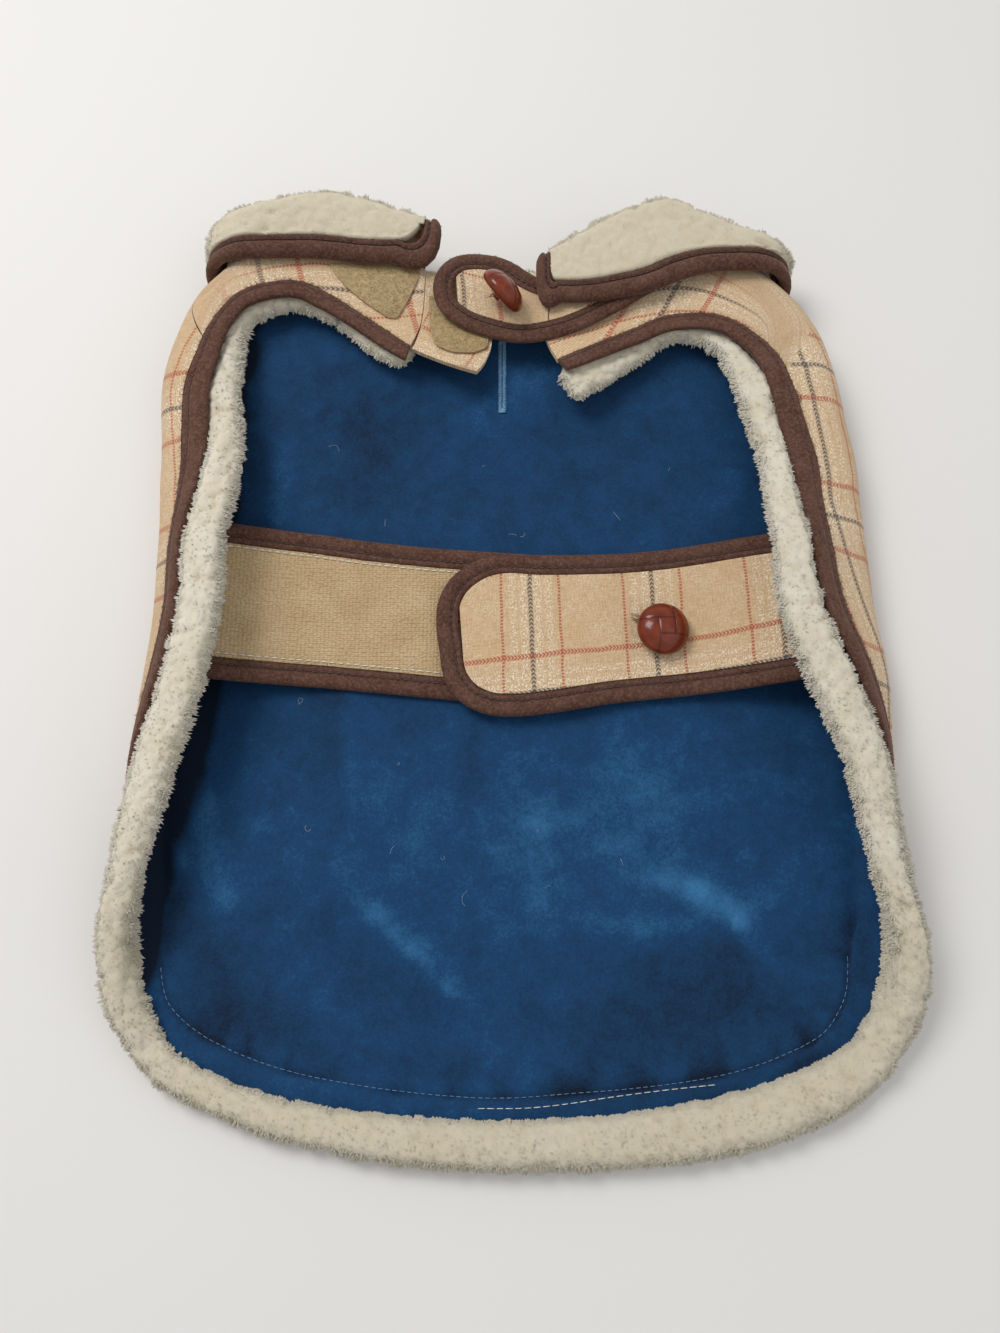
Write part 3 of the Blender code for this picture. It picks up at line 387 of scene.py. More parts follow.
# hem over each chest flap and round the rump, cut ends of the flaps
leftFlapHem = (
    (38.5, 122), (46, 127.3), (55, 134.2), (64, 141), (75, 148), (90, 152.5), (102, 148.5), (109.5, 137),
    (113.5, 120.5))
rightFlapHem = (
    (27, 116.5), (41.5, 123.7), (57, 130.6), (73, 136.8), (89, 135), (102.5, 121.5), (108, 106))
leftFlapEnd = ((33.2, 140.0), (32.0, 150.0), (31.6, 160.0))
rightFlapEnd = ((19.3, 133.0), (17.0, 144.0))
leftEndCut = 0.33
flankStations = (84, 62, 40, 20, 0, -20, -40, -55, -70, -84, -98, -112, -124)
rumpHem = (
    (-118, -137.5), (-111, -144.8), (-103, -148.8), (-89, -154.5), (-75, -158.5), (-61, -161),
    (-34, -164.2), (0, -165.8), (34, -164.2), (61, -160.8), (75, -158.2), (89, -154.6), (103, -149.8),
    (117, -143.6), (126, -137))

# neckline: on the back as s and y, on the flaps as distance from the middle and y
nape = ((0.0, 158.0), (55.0, 158.5), (92.0, 161.0))
shoulderTurn = 98.0
shoulderY = {-1: 170.0, 1: 164.0}
leftNeck = ((98.0, 172.0), (86.0, 172.5), (70.0, 172.0), (52.0, 170.5), (31.5, 168.5))
rightNeck = (
    (98, 166.5), (86, 168), (70, 168), (52, 165.5), (36, 161), (14, 155))


def sectionAt(s, y):
    left = smoothRows(leftSections, y)
    right = smoothRows(rightSections, y)
    return np.where((s < 0)[..., None], left, right)


def onCloth(s, y, depth=0.0):
    # point at s across and y along the cloth, depth towards the lining
    s, y, depth = np.broadcast_arrays(np.asarray(s, float), np.asarray(y, float), depth)
    flat, roll, turn = np.moveaxis(sectionAt(s, y), -1, 0)[:3]
    turn = np.radians(turn)
    beyond = np.abs(s) - flat
    angle = np.clip(beyond / roll, 0, turn)
    straight = np.clip(beyond - roll * turn, 0, None)
    x = np.minimum(np.abs(s), flat) + roll * np.sin(angle) + straight * np.cos(angle)
    z = roll * (1 - np.cos(angle)) + straight * np.sin(angle)
    z = z + coat["napeLift"] * smoothStep(y, *coat["napeRise"])
    side = np.where(s < 0, -1.0, 1.0)
    return np.stack([side * (x - depth * np.sin(angle)), y, z + depth * np.cos(angle)], axis=-1)


def overFlap(side, x, y):
    # place on the cloth of a spot on the folded flap, x from the middle of the coat
    flat, roll, turn = sectionAt(np.asarray(float(side)), np.asarray(float(y)))[:3]
    turn = math.radians(turn)
    straight = (flat + roll * math.sin(turn) - x) / -math.cos(turn)
    return side * (flat + roll * turn + straight), y


def flankPlace(side, y):
    # place of the hem where the flank stands up
    flat, roll, turn, run = sectionAt(np.asarray(float(side)), np.asarray(float(y)))
    return side * (flat + roll * math.radians(turn) + run), y


# the whole hem, from the left flap's end round the rump to the right flap's end
hemSteps = 1400
hem = smoothPath([overFlap(-1, x, y) for x, y in leftFlapHem] + [flankPlace(-1, y) for y in flankStations]
                 + list(rumpHem) + [flankPlace(1, y) for y in flankStations[::-1]]
                 + [overFlap(1, x, y) for x, y in rightFlapHem[::-1]], hemSteps + 1)


def movedInwards(path, width):
    # the path moved by width over the curved cloth, square to itself
    s, y = path.T
    small = 0.05
    byS = (onCloth(s + small, y) - onCloth(s - small, y)) / (2 * small)
    byY = (onCloth(s, y + small) - onCloth(s, y - small)) / (2 * small)
    ss, sy, yy = [np.sum(a * b, axis=1) for a, b in ((byS, byS), (byS, byY), (byY, byY))]
    ds, dy = np.gradient(path, axis=0).T
    size = np.sqrt((ss * ds**2 + 2 * sy * ds * dy + yy * dy**2) * (ss * yy - sy**2))
    inward = np.column_stack([-(sy * ds + yy * dy), ss * ds + sy * dy]) / size[:, None]
    return path + inward * width


# the hem moved inwards, one line each millimetre
hemInsets = [hem]
for step in range(int(coat["bandWidth"]) + 2):
    hemInsets.append(movedInwards(hemInsets[-1], 1.0))
hemLength = pathLength(onCloth(hem[:, 0], hem[:, 1]))


def hemInset(width):
    # a negative width lies outside the hem
    whole = max(int(width), 0)
    part = width - whole
    return hemInsets[whole] * (1 - part) + hemInsets[whole + 1] * part


def hemAt(path, fractions):
    return rowsAt(np.asarray(fractions) * hemSteps, np.arange(hemSteps + 1), path)


def hemFrame():
    # along the hem: its points, and the ways along it, out of the cloth's edge and up from the cloth
    point = onCloth(hem[:, 0], hem[:, 1])
    within = hemInset(1.0)
    out = point - onCloth(within[:, 0], within[:, 1])
    deep = onCloth(hem[:, 0], hem[:, 1], 1.0) - point
    along = unit(np.gradient(point, axis=0))
    deep = unit(deep - along * np.sum(along * deep, axis=1)[:, None])
    out = out - along * np.sum(along * out, axis=1)[:, None]
    out = unit(out - deep * np.sum(deep * out, axis=1)[:, None])
    return point, along, out, deep


def hemFraction(spot):
    return float(np.argmin(np.linalg.norm(hem - np.asarray(spot), axis=1))) / hemSteps


def edgeBetween(start, end, shares, width):
    return hemAt(hemInset(width), start + (end - start) * np.asarray(shares))


def underBand(shares, full):
    # width left from the hem: the band rolls under at the flaps, so less of it shows there
    left = 1 - smoothStep(shares, *coat["leftRoll"])
    right = smoothStep(shares, *coat["rightRoll"])
    return full - coat["bandRolled"] * np.maximum(left, right) * full / coat["bandWidth"]


def bandEdge(start, end, shares, full):
    shares = start + (end - start) * np.asarray(shares)
    widths = underBand(shares, full)
    levels = np.array([hemAt(path, shares) for path in hemInsets])
    whole = np.clip(widths.astype(int), 0, len(hemInsets) - 2)
    part = (widths - whole)[:, None]
    places = np.arange(len(shares))
    return levels[whole, places] * (1 - part) + levels[whole + 1, places] * part


def shoulder(side):
    flat, roll = sectionAt(np.asarray(float(side)), np.asarray(shoulderY[side]))[:2]
    return np.array([side * (flat + roll * math.radians(shoulderTurn)), shoulderY[side]])


def napeLine(shares):
    half = [(-s, y) for s, y in nape[:0:-1]]
    return smoothPath([shoulder(-1)] + half + list(nape) + [shoulder(1)], fractions=shares)


shoulderShare = {-1: hemFraction(overFlap(-1, *leftFlapHem[-1])),
                 1: hemFraction(overFlap(1, *rightFlapHem[-1]))}
cornerShare = {-1: hemFraction(rumpHem[0]), 1: hemFraction(rumpHem[-1])}
flapInset = coat["bandWidth"] + coat["edgeGap"]


# steps of the hem searched to each side of a shoulder seam
seamSearch = 70


def evenLine(start, end, count):
    return np.linspace(np.asarray(start), np.asarray(end), count)


def seamFoot(side, width, under=False):
    # where the line this far inside the hem meets the shoulder seam
    path = bandEdge(0.0, 1.0, np.arange(hemSteps + 1) / hemSteps, width) if under else hemInset(width)
    step = int(round(shoulderShare[side] * hemSteps))
    foot = hem[step]
    way = shoulder(side) - foot
    apart = way[0] * (path[:, 1] - foot[1]) - way[1] * (path[:, 0] - foot[0])
    first = step - seamSearch
    crossing = first + int(np.argmax(np.diff(np.sign(apart[first:step + seamSearch])) != 0))
    part = apart[crossing] / (apart[crossing] - apart[crossing + 1])
    return crossing / hemSteps, path[crossing] * (1 - part) + path[crossing + 1] * part


def patch(bottom, top, left, right, across=None, upward=None):
    # a grid of places filled in between four edges
    u = (np.linspace(0, 1, len(bottom)) if across is None else across)[None, :, None]
    v = (np.linspace(0, 1, len(left)) if upward is None else upward)[:, None, None]
    along = (1 - v) * bottom[None] + v * top[None]
    rising = (1 - u) * left[:, None] + u * right[:, None]
    corners = (1 - v) * ((1 - u) * bottom[0] + u * bottom[-1]) + v * ((1 - u) * top[0] + u * top[-1])
    return along + rising - corners


def finer(shares, times):
    steps = len(shares) - 1
    return np.interp(np.linspace(0, steps, steps * times + 1), np.arange(len(shares)), shares)


seamSteps = 7
sideShare = 0.15
acrossShares = np.concatenate([
    np.linspace(0, sideShare, seamSteps + 1),
    (0.167, 0.185, 0.205, 0.24, 0.30, 0.37, 0.44, 0.5, 0.56, 0.63, 0.70, 0.76, 0.795, 0.815, 0.833),
    np.linspace(1 - sideShare, 1, seamSteps + 1)])
upwardShares = np.concatenate([np.linspace(0, 0.32, 9), np.linspace(0.32, 0.78, 8)[1:-1],
                               np.linspace(0.78, 0.93, 6), (0.955, 0.978, 1.0)])


def backPatch(width, timesAcross, timesUp, under=False):
    # the back with both flanks, this far inside the hem
    across, upward = finer(acrossShares, timesAcross), finer(upwardShares, timesUp)
    seam = seamSteps * timesAcross
    leftShare, leftFoot = seamFoot(-1, width, under)
    rightShare, rightFoot = seamFoot(1, width, under)
    edge = bandEdge if under else edgeBetween
    left = edge(cornerShare[-1], leftShare, upward, width)
    right = edge(cornerShare[1], rightShare, upward, width)
    bottom = edgeBetween(cornerShare[-1], cornerShare[1], across, width)
    left[-1], right[-1] = leftFoot, rightFoot
    middle = (across[seam:-seam] - sideShare) / (1 - 2 * sideShare)
    top = np.concatenate([evenLine(leftFoot, shoulder(-1), seam + 1)[:-1], napeLine(middle),
                          evenLine(shoulder(1), rightFoot, seam + 1)[1:]])
    return patch(bottom, top, left, right, across, upward)


# windowpane check, in millimetres along the cut: repeats, where the red lines stand, and its woven lines
checkLook = {"warpRepeat": 48.0, "warpRed": 11.3, "weftRepeat": 66.0, "weftRed": 14.5, "threadPitch": 0.8,
             "warpLine": {"width": 1.05, "beat": 1.35, "slant": 0.0, "duty": 0.58},
             "weftLine": {"width": 2.1, "beat": 1.35, "slant": 0.9, "duty": 0.6},
             "darkLine": {"width": 1.8, "beat": 1.7, "slant": 1.1, "duty": 0.62},
             "stripes": ((1.4, 4.2, 0.8), (5.6, 8.4, 0.66)), "wobble": 0.8, "paleFlecks": 0.45,
             "lineStrength": 0.82, "ground": "#DABD98", "groundDark": "#BD9A70", "pale": "#F1E6D2",
             "red": "#AE4630", "slate": "#3C434C"}


def bandOf(tree, apart, low, high, soft):
    # 1 between low and high, fading over soft at both sides
    rise = addNode(tree, "MapRange", apart, low - soft, low + soft, 0.0, 1.0)
    fall = addNode(tree, "MapRange", apart, high - soft, high + soft, 1.0, 0.0)
    return calc(tree, "MULTIPLY", rise, fall)


def wovenLine(tree, apart, beside, width, beat, slant, duty):
    # a woven line in short floats that lean away from its middle
    near = addNode(tree, "MapRange", apart, width * 0.35, width * 0.65, 1.0, 0.0,
                   interpolation_type="SMOOTHSTEP")
    phase = calc(tree, "MULTIPLY_ADD", apart, slant, beside)
    phase = calc(tree, "DIVIDE", phase, beat)
    phase = calc(tree, "FRACT", phase)
    phase = calc(tree, "SUBTRACT", phase, 0.5)
    phase = calc(tree, "ABSOLUTE", phase)
    floats = addNode(tree, "MapRange", phase, duty / 2 - 0.07, duty / 2 + 0.07, 1.0, 0.12)
    return calc(tree, "MULTIPLY", near, floats)


def makeCheckTwill():
    # wool and cotton twill woven in a windowpane check: matt, slightly hairy, flecked along its threads
    look = checkLook
    material, tree = newMaterial("checkTwill", roughness=0.88, sheen=0.25, specular=0.25)
    cut = addNode(tree, "UVMap", uv_map="cut")
    parts = addNode(tree, "SeparateXYZ", cut)
    wobble = noiseBand(tree, cut, 9.0, 0.0, 1.0, (-look["wobble"], look["wobble"]))
    u = calc(tree, "MULTIPLY_ADD", parts.outputs[0], uvSize, wobble)
    v = calc(tree, "MULTIPLY_ADD", parts.outputs[1], uvSize, wobble)

    def noise(scales, low, high, detail=2.0):
        spread = addNode(tree, "Mapping", {"Vector": cut, "Scale": (*scales, 1.0)})
        return noiseBand(tree, spread, 1.0, low, high, detail=detail)

    # ground: slubs along both threads, pale flecks where a thread floats
    slub = calc(tree, "ADD", noise((210.0, 26.0), 0.36, 0.64), noise((26.0, 210.0), 0.36, 0.64))
    slub = calc(tree, "MULTIPLY", slub, 0.5)
    colour = mixed(tree, slub, look["groundDark"], look["ground"])
    flecks = noise((150.0, 120.0), 0.50, 0.64, 1.0)
    few = calc(tree, "MULTIPLY", flecks, noise((7.0, 7.0), 0.35, 0.7))
    few = calc(tree, "MULTIPLY", few, look["paleFlecks"])
    colour = mixed(tree, few, colour, look["pale"])

    lines = []
    for along, beside, repeat, red, redLine in (
            (u, v, look["warpRepeat"], look["warpRed"], look["warpLine"]),
            (v, u, look["weftRepeat"], look["weftRed"], look["weftLine"])):
        middle = calc(tree, "ADD", along, repeat / 2)
        middle = calc(tree, "FLOORED_MODULO", middle, repeat)
        middle = calc(tree, "SUBTRACT", middle, repeat / 2)
        apart = calc(tree, "ABSOLUTE", middle)
        fromRed = calc(tree, "SUBTRACT", apart, red)
        fromRed = calc(tree, "ABSOLUTE", fromRed)
        # whitish stripes on both sides of the dark line, made of scattered flecks
        for low, high, strength in look["stripes"]:
            pale = calc(tree, "MULTIPLY", bandOf(tree, apart, low, high, 0.5), flecks)
            pale = calc(tree, "MULTIPLY", pale, strength)
            colour = mixed(tree, pale, colour, look["pale"])
        lines.append((wovenLine(tree, fromRed, beside, **redLine), look["red"]))
        lines.append((wovenLine(tree, apart, beside, **look["darkLine"]), look["slate"]))
    blank = markOf(tree, "blank")
    shown = addNode(tree, "MapRange", blank, 0.0, 1.0, look["lineStrength"], 0.0)
    for near, tint in lines:
        near = calc(tree, "MULTIPLY", near, shown)
        colour = mixed(tree, near, colour, tint)

    # twill ridges lean across both threads; drawn a little coarser than the real 0.5 mm so that they show
    lean = calc(tree, "ADD", u, v)
    lean = calc(tree, "MULTIPLY", lean, 2 * math.pi / look["threadPitch"])
    ridge = calc(tree, "SINE", lean)
    ridge = addNode(tree, "MapRange", ridge, -1.0, 1.0, 0.0, 1.0)
    shade = addNode(tree, "MapRange", ridge, 0.0, 1.0, 0.86, 1.06)
    colour = mixed(tree, 1.0, colour, shade, blend_type="MULTIPLY")
    height = calc(tree, "ADD", ridge, slub)
    return finishSurface(material, colour, height, 0.55, 0.00025, "#FFF4E2")


def makeVelvet():
    # cotton velvet, cut pile: deep blue, bright where the nap is brushed away from the eye; the nap mark also
    # carries painted highlights, painted light and shade and a painted shadow
    material, tree = newMaterial("blueVelvet", roughness=0.82, sheen=0.4, sheenRoughness=0.42, specular=0.2)
    where = objectPlace(tree)
    nap = markOf(tree, "nap")
    for size, detail, reach in ((34.0, 3.0, 0.06), (150.0, 4.0, 0.09), (1000.0, 2.0, 0.10)):
        brushed = noiseBand(tree, where, size, 0.3, 0.7, (-reach, reach), detail, Roughness=0.6,
                            Distortion=0.6)
        nap = calc(tree, "ADD", nap, brushed)
    dark = addNode(tree, "MapRange", nap, -0.2, 0.36, 0.0, 1.0)
    light = addNode(tree, "MapRange", nap, 0.36, 1.0, 0.0, 1.0)
    colour = mixed(tree, dark, "#051528", "#123D64")
    colour = mixed(tree, light, colour, "#37719E")
    fuzz = noiseOf(tree, where, 2200.0)
    return finishSurface(material, colour, fuzz, 0.35, 0.0004, "#5A8CB4")


def makeSherpa():
    # acrylic sherpa, cropped pile: cream, matt and deep; painted shade makes it darker and a little warmer
    # down between the tufts
    deep = {"Subsurface Weight": 0.35, "Subsurface Scale": 0.0012, "Subsurface Radius": (1.0, 0.9, 0.75)}
    material, tree = newMaterial("creamSherpa", roughness=0.95, sheen=0.3, sheenRoughness=0.6, specular=0.1,
                                 **deep)
    where = objectPlace(tree)
    tip = markOf(tree, "tip")
    patchy = noiseBand(tree, where, 60.0, 0.3, 0.7, detail=3.0, Roughness=0.6)
    pale = mixed(tree, patchy, "#D2C8B2", "#DFD8CA")
    # painted shade: where the tip mark is low, at the locks' roots and in the creases of the skin, the darker
    # root colour shows
    colour = mixed(tree, tip, "#C0B49A", pale)
    colour = mixed(tree, markOf(tree, "stain"), colour, "#9A8C72")
    fuzz = noiseOf(tree, where, 620.0, 4.0, Roughness=0.65, Distortion=0.8)
    return finishSurface(material, colour, fuzz, 0.55, 0.0007, "#FFF8EA")


def makeSuede():
    # microfibre suede binding: brown, soft, chalky where the nap is rubbed
    material, tree = newMaterial("brownSuede", roughness=0.9, sheen=0.4, sheenRoughness=0.45, specular=0.2)
    where = objectPlace(tree)
    rubbed = noiseBand(tree, where, 120.0, 0.35, 0.72, detail=6.0, Roughness=0.7)
    flecks = noiseBand(tree, where, 900.0, 0.42, 0.75, (0.0, 0.55))
    colour = mixed(tree, rubbed, "#452A22", "#5C4036")
    colour = mixed(tree, flecks, colour, "#7A5C4C")
    nap = noiseOf(tree, where, 1500.0, 3.0)
    return finishSurface(material, colour, nap, tint="#B08C78")


def makeLoopTape():
    # knitted nylon loop tape: tan, with tiny loops in rows that catch the light
    material, tree = newMaterial("tanLoopTape", roughness=0.78, sheen=0.4, sheenRoughness=0.4)
    cut = addNode(tree, "UVMap", uv_map="cut")
    cells = addNode(tree, "Mapping", {"Vector": cut, "Scale": (68.0, 125.0, 1.0)})
    loops = addNode(tree, "TexVoronoi", {"Vector": cells, "Scale": 1.0, "Randomness": 0.45})
    loops = addNode(tree, "MapRange", loops, 0.1, 0.75, 1.0, 0.0)
    toneShift = noiseBand(tree, cut, 7.0, 0.2, 0.85, detail=5.0)
    colour = mixed(tree, toneShift, "#BB9C6E", "#D6B991")
    # painted shade between the loops and painted highlight on them
    deep = addNode(tree, "MapRange", loops, 0.0, 1.0, 0.66, 1.10)
    colour = mixed(tree, 1.0, colour, deep, blend_type="MULTIPLY")
    return finishSurface(material, colour, loops, 0.9, 0.0005, "#FFEBC4")


def makeLoopPatch():
    # brushed nylon loop patch: ochre, its fine filaments a little shiny
    material, tree = newMaterial("ochreLoopPatch", roughness=0.55, sheen=0.3, specular=0.45)
    tangle = noiseBand(tree, objectPlace(tree), 700.0, 0.3, 0.7, detail=3.0, Distortion=1.0)
    colour = mixed(tree, tangle, "#86704A", "#AF966A")
    return finishSurface(material, colour, tangle, tint="#FFF0C8")


def makeButtonPlastic():
    # glossy moulded casein-like plastic in the form of plaited leather: red-brown, darker in its grooves
    gloss = {"IOR": 1.5, "Coat Weight": 0.12, "Coat Roughness": 0.05}
    material, tree = newMaterial("brownButtonPlastic", roughness=0.24, specular=0.3, **gloss)
    where = objectPlace(tree)
    mottle = noiseBand(tree, where, 260.0, 0.3, 0.7, detail=4.0)
    colour = mixed(tree, mottle, "#601F0C", "#7C3419")
    colour = mixed(tree, markOf(tree, "groove"), colour, "#2A0F0A")
    grain = noiseOf(tree, where, 1400.0)
    return finishSurface(material, colour, grain, 0.08, 0.0002)


def makeThread(name, low, high, roughness=0.55):
    # spun sewing thread, a little glossy along its twist
    material, tree = newMaterial(name, roughness, sheen=0.2)
    twist = noiseBand(tree, objectPlace(tree), 1600.0, 0.35, 0.65)
    return finishSurface(material, mixed(tree, twist, low, high))


checkTwill = makeCheckTwill()
velvet = makeVelvet()
sherpa = makeSherpa()
suede = makeSuede()
loopTape = makeLoopTape()
loopPatch = makeLoopPatch()
buttonPlastic = makeButtonPlastic()
blueThread = makeThread("paleBlueThread", "#3E739F", "#7FAED2", 0.45)
navyThread = makeThread("blueTopstitchThread", "#2E5E8C", "#5C8CB6")
whiteThread = makeThread("whiteThread", "#CFC8B8", "#F2EDE0")
brownThread = makeThread("brownThread", "#2A1A14", "#4A332A")
amberThread = makeThread("amberThread", "#4E2C16", "#8A5A2C")
lintFibre = makeThread("lintFibre", "#8FA6B8", "#C9D2D6", 0.7)
print("materials made")


shellLook = {"timesAcross": 3, "timesUp": 4, "skew": 0.055, "weftStart": 42.8, "warpStart": 21.5,
             "puckerHeight": 0.35, "puckerSize": 17.0, "puckerRise": (6.0, 14.0)}

# how far the lengthwise lines bow outwards over the right flank, as y and distance
warpBow = (
    (-80, 0), (8, -2.5), (35, 3.5), (68, 7.7), (103, 4.5), (129, -1), (170, 0))


def checkCut(s, y):
    # place in the woven check, in millimetres from where two dark lines cross
    look = shellLook
    bow = smoothRows(warpBow, y)[..., 0] * smoothStep(s, 100.0, 150.0)
    return np.stack([s - bow - look["warpStart"], y - look["skew"] * s - look["weftStart"]], axis=-1)


def pucker(s, y):
    # slight puckers of the cloth where it rolls over the flank
    roll = smoothStep(onCloth(s, y)[..., 2], *shellLook["puckerRise"])
    return shellLook["puckerHeight"] * roll * lumps(flatSpots(s, y), shellLook["puckerSize"], 3)


def makeShell():
    places = backPatch(flapInset, shellLook["timesAcross"], shellLook["timesUp"], True)
    s, y = split(places)
    depth = pucker(s, y)
    piece = clothShell("shellBack", onCloth(s, y, depth), onCloth(s, y, coat["shellWall"] + depth),
                       checkCut(s, y), checkTwill)
    return place(piece, "check_cloth", "shell_back")


def bandStart(width):
    # the hem's share where a line this far within it starts, as the flap's cut end slants
    return leftEndCut * width / hemLength


def chestFlapPlaces(side, neckRows, endRows, steps=60, rise=20):
    # a flap's grid, from the shoulder seam to its cut end
    hemEnd = bandStart(flapInset) if side < 0 else 1.0
    footShare = seamFoot(side, flapInset, True)[0]
    lower = bandEdge(footShare, hemEnd, np.linspace(0, 1, steps + 1), flapInset)
    neck = [shoulder(side)] + [np.array(overFlap(side, x, y)) for x, y in neckRows]
    upper = smoothPath(neck, steps + 1)
    root = evenLine(lower[0], upper[0], rise + 1)
    first, last = onCloth(*lower[-1]), onCloth(*upper[-1])
    cut = smoothPath([(abs(first[0]), first[1]), *endRows, (abs(last[0]), last[1])], rise + 1)
    return patch(lower, upper, root, np.array([overFlap(side, x, y) for x, y in cut]))


# how a lengthwise line of the check runs over each flap as x and y, how far the nearest dark line is below
# it, where the dark crossing line stands and how it leans, and how much the slack cloth closes the check up
flapLook = {
    "left": {"line": ((-120.0, 155.0), (-116.0, 160.0), (-100.0, 168.0), (-84.0, 170.0), (-67.0, 170.0),
                      (-53.0, 168.0), (-31.0, 171.0)),
             "below": 13.0, "cross": (-101.0, 168.5), "lean": 0.25},
    "right": {"line": ((14.0, 140.0), (40.0, 150.0), (52.0, 154.0), (65.0, 156.5), (79.0, 156.5),
                       (95.0, 150.0), (108.0, 140.0), (118.0, 131.0)),
              "below": 0.0, "cross": (71.5, 154.0), "lean": -0.55}}
flapCheck = {"crossing": 132.0, "slack": 0.87, "blend": 0.16, "fan": 0.5, "fanReach": 0.4,
             "blank": 0.85, "blankReach": (0.1, 0.24)}


def turnedCut(points, uStart, vStart, turn):
    # check laid on a flat piece, turned by some degrees
    angle = math.radians(turn)
    x, y = points[..., 0], points[..., 1]
    u = x * math.cos(angle) + y * math.sin(angle)
    v = y * math.cos(angle) - x * math.sin(angle)
    return np.stack([u - uStart, v - vStart], axis=-1)


def makeFlap(name, node, side, neckRows, endRows):
    look = flapLook[name]
    places = chestFlapPlaces(side, neckRows, endRows)
    s, y = split(places)
    depth = pucker(s, y)
    outer, inner = onCloth(s, y, depth), onCloth(s, y, coat["flapWall"])
    # the check comes round from the back and turns with the flap
    x = outer[..., 0]
    along = np.linspace(0, 1, places.shape[1])[None]
    fan = 1 + flapCheck["fan"] * (1 - smoothStep(along, 0.0, flapCheck["fanReach"]))
    u = side * (smoothRows(look["line"], x)[..., 0] - y - look["below"]) * fan
    crossX, crossY = look["cross"]
    v = flapCheck["crossing"] - side * flapCheck["slack"] * (x - crossX + (y - crossY) * look["lean"])
    shell = checkCut(s, y)
    repeat = checkLook["warpRepeat"]
    shell[..., 0] -= repeat * np.round((shell[0, :, 0].mean() - u[0].mean()) / repeat)
    share = smoothStep(along, 0.0, flapCheck["blend"])[..., None]
    cut = shell * (1 - share) + np.stack([u, v], axis=-1) * share
    fade = flapCheck["blank"] * (1 - smoothStep(along, *flapCheck["blankReach"]))
    piece = clothShell("chestFlap" + name.title(), outer, inner, cut, checkTwill,
                       {"blank": np.broadcast_to(fade, places.shape[:2])})
    return place(piece, "check_cloth", node)


# the underlap's left and right edge, each as x and y
underlapLook = {"rows": 28, "columns": 22, "lower": 0.3, "upper": 2.6, "cutAt": (2.0, 103.5), "turn": -22.0}
underlapRows = (
    (-35.9, 128.6, -9.4, 114.9), (-34.5, 132.6, -6.8, 120.6), (-33.3, 137.2, -4.7, 127),
    (-32.7, 140.2, -3.4, 133), (-31.7, 150.2, -3.6, 144), (-31.3, 160.2, -4.2, 154),
    (-31.1, 167.7, -4.8, 161))


def makeUnderlap():
    look = underlapLook
    levels = np.linspace(0, len(underlapRows) - 1, look["rows"])
    rows = smoothRows([(k, *row) for k, row in enumerate(underlapRows)], levels)
    places = np.asarray([[overFlap(-1, -x, y) for x, y in evenLine(row[:2], row[2:], look["columns"])]
                         for row in rows])
    outer, inner = onCloth(*split(places), look["lower"]), onCloth(*split(places), look["upper"])
    cut = turnedCut(outer[..., :2], *look["cutAt"], look["turn"])
    blank = np.ones(places.shape[:2])
    blank[1:-1, 1:-1] = 0.0
    piece = clothShell("underlapCloth", outer, inner, cut, checkTwill, {"blank": blank})
    return place(piece, "check_cloth", "underlap")


shellPiece = makeShell()
leftFlapPiece = makeFlap("left", "chest_flap_left", -1, leftNeck, leftFlapEnd)
rightFlapPiece = makeFlap("right", "chest_flap_right", 1, rightNeck, rightFlapEnd)
underlapPiece = makeUnderlap()
print("check cloth cut")


# waves: height, size, seed; waves of the nap: strength, size, seed
liningLook = {"inset": -1.2, "rollLift": 1.2, "timesAcross": 5, "timesUp": 6, "loft": 0.5,
              "waves": ((0.35, 42.0, 5), (0.12, 11.0, 6)), "napBase": 0.28, "grooveShade": 0.4,
              "napWaves": ((0.04, 30.0, 8), (0.05, 9.0, 9))}

# creases: from x, y to x, y, height, half width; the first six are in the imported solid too
liningFolds = (
    (-62, -80, -25, -118, 2.4, 12), (-60, -14, -58, -48, 1.6, 9), (34, -97, 69, -90, 2.6, 11),
    (69, -90, 93, -118, 1.8, 11), (4, 104, 38, 126, 1.8, 9), (-46, 86, -68, 66, 1.4, 10))
softCreases = (
    (-60, -80, -47, -96, 0.8, 3), (-47, -96, -20, -120, 0.9, 3), (-20, -120, -4, -145, 0.5, 4),
    (58, -83, 73, -89, 0.8, 3.5), (73, -89, 93, -110, 0.9, 3.5), (33, -98, 68, -100, 0.6, 4),
    (15, -64, 14.5, -90, 0.6, 4), (-110, -62, -90, -105, 0.6, 8), (-120, -72, -116, -80, 0.9, 4),
    (-41, 91, 0, 119, 0.4, 4), (0, 119, 19, 136, 0.4, 3), (88, 20, 98, 78, 0.5, 8),
    (30, -130, 31, -150, 0.5, 4), (-84, 30, -78, 108, 0.4, 8))
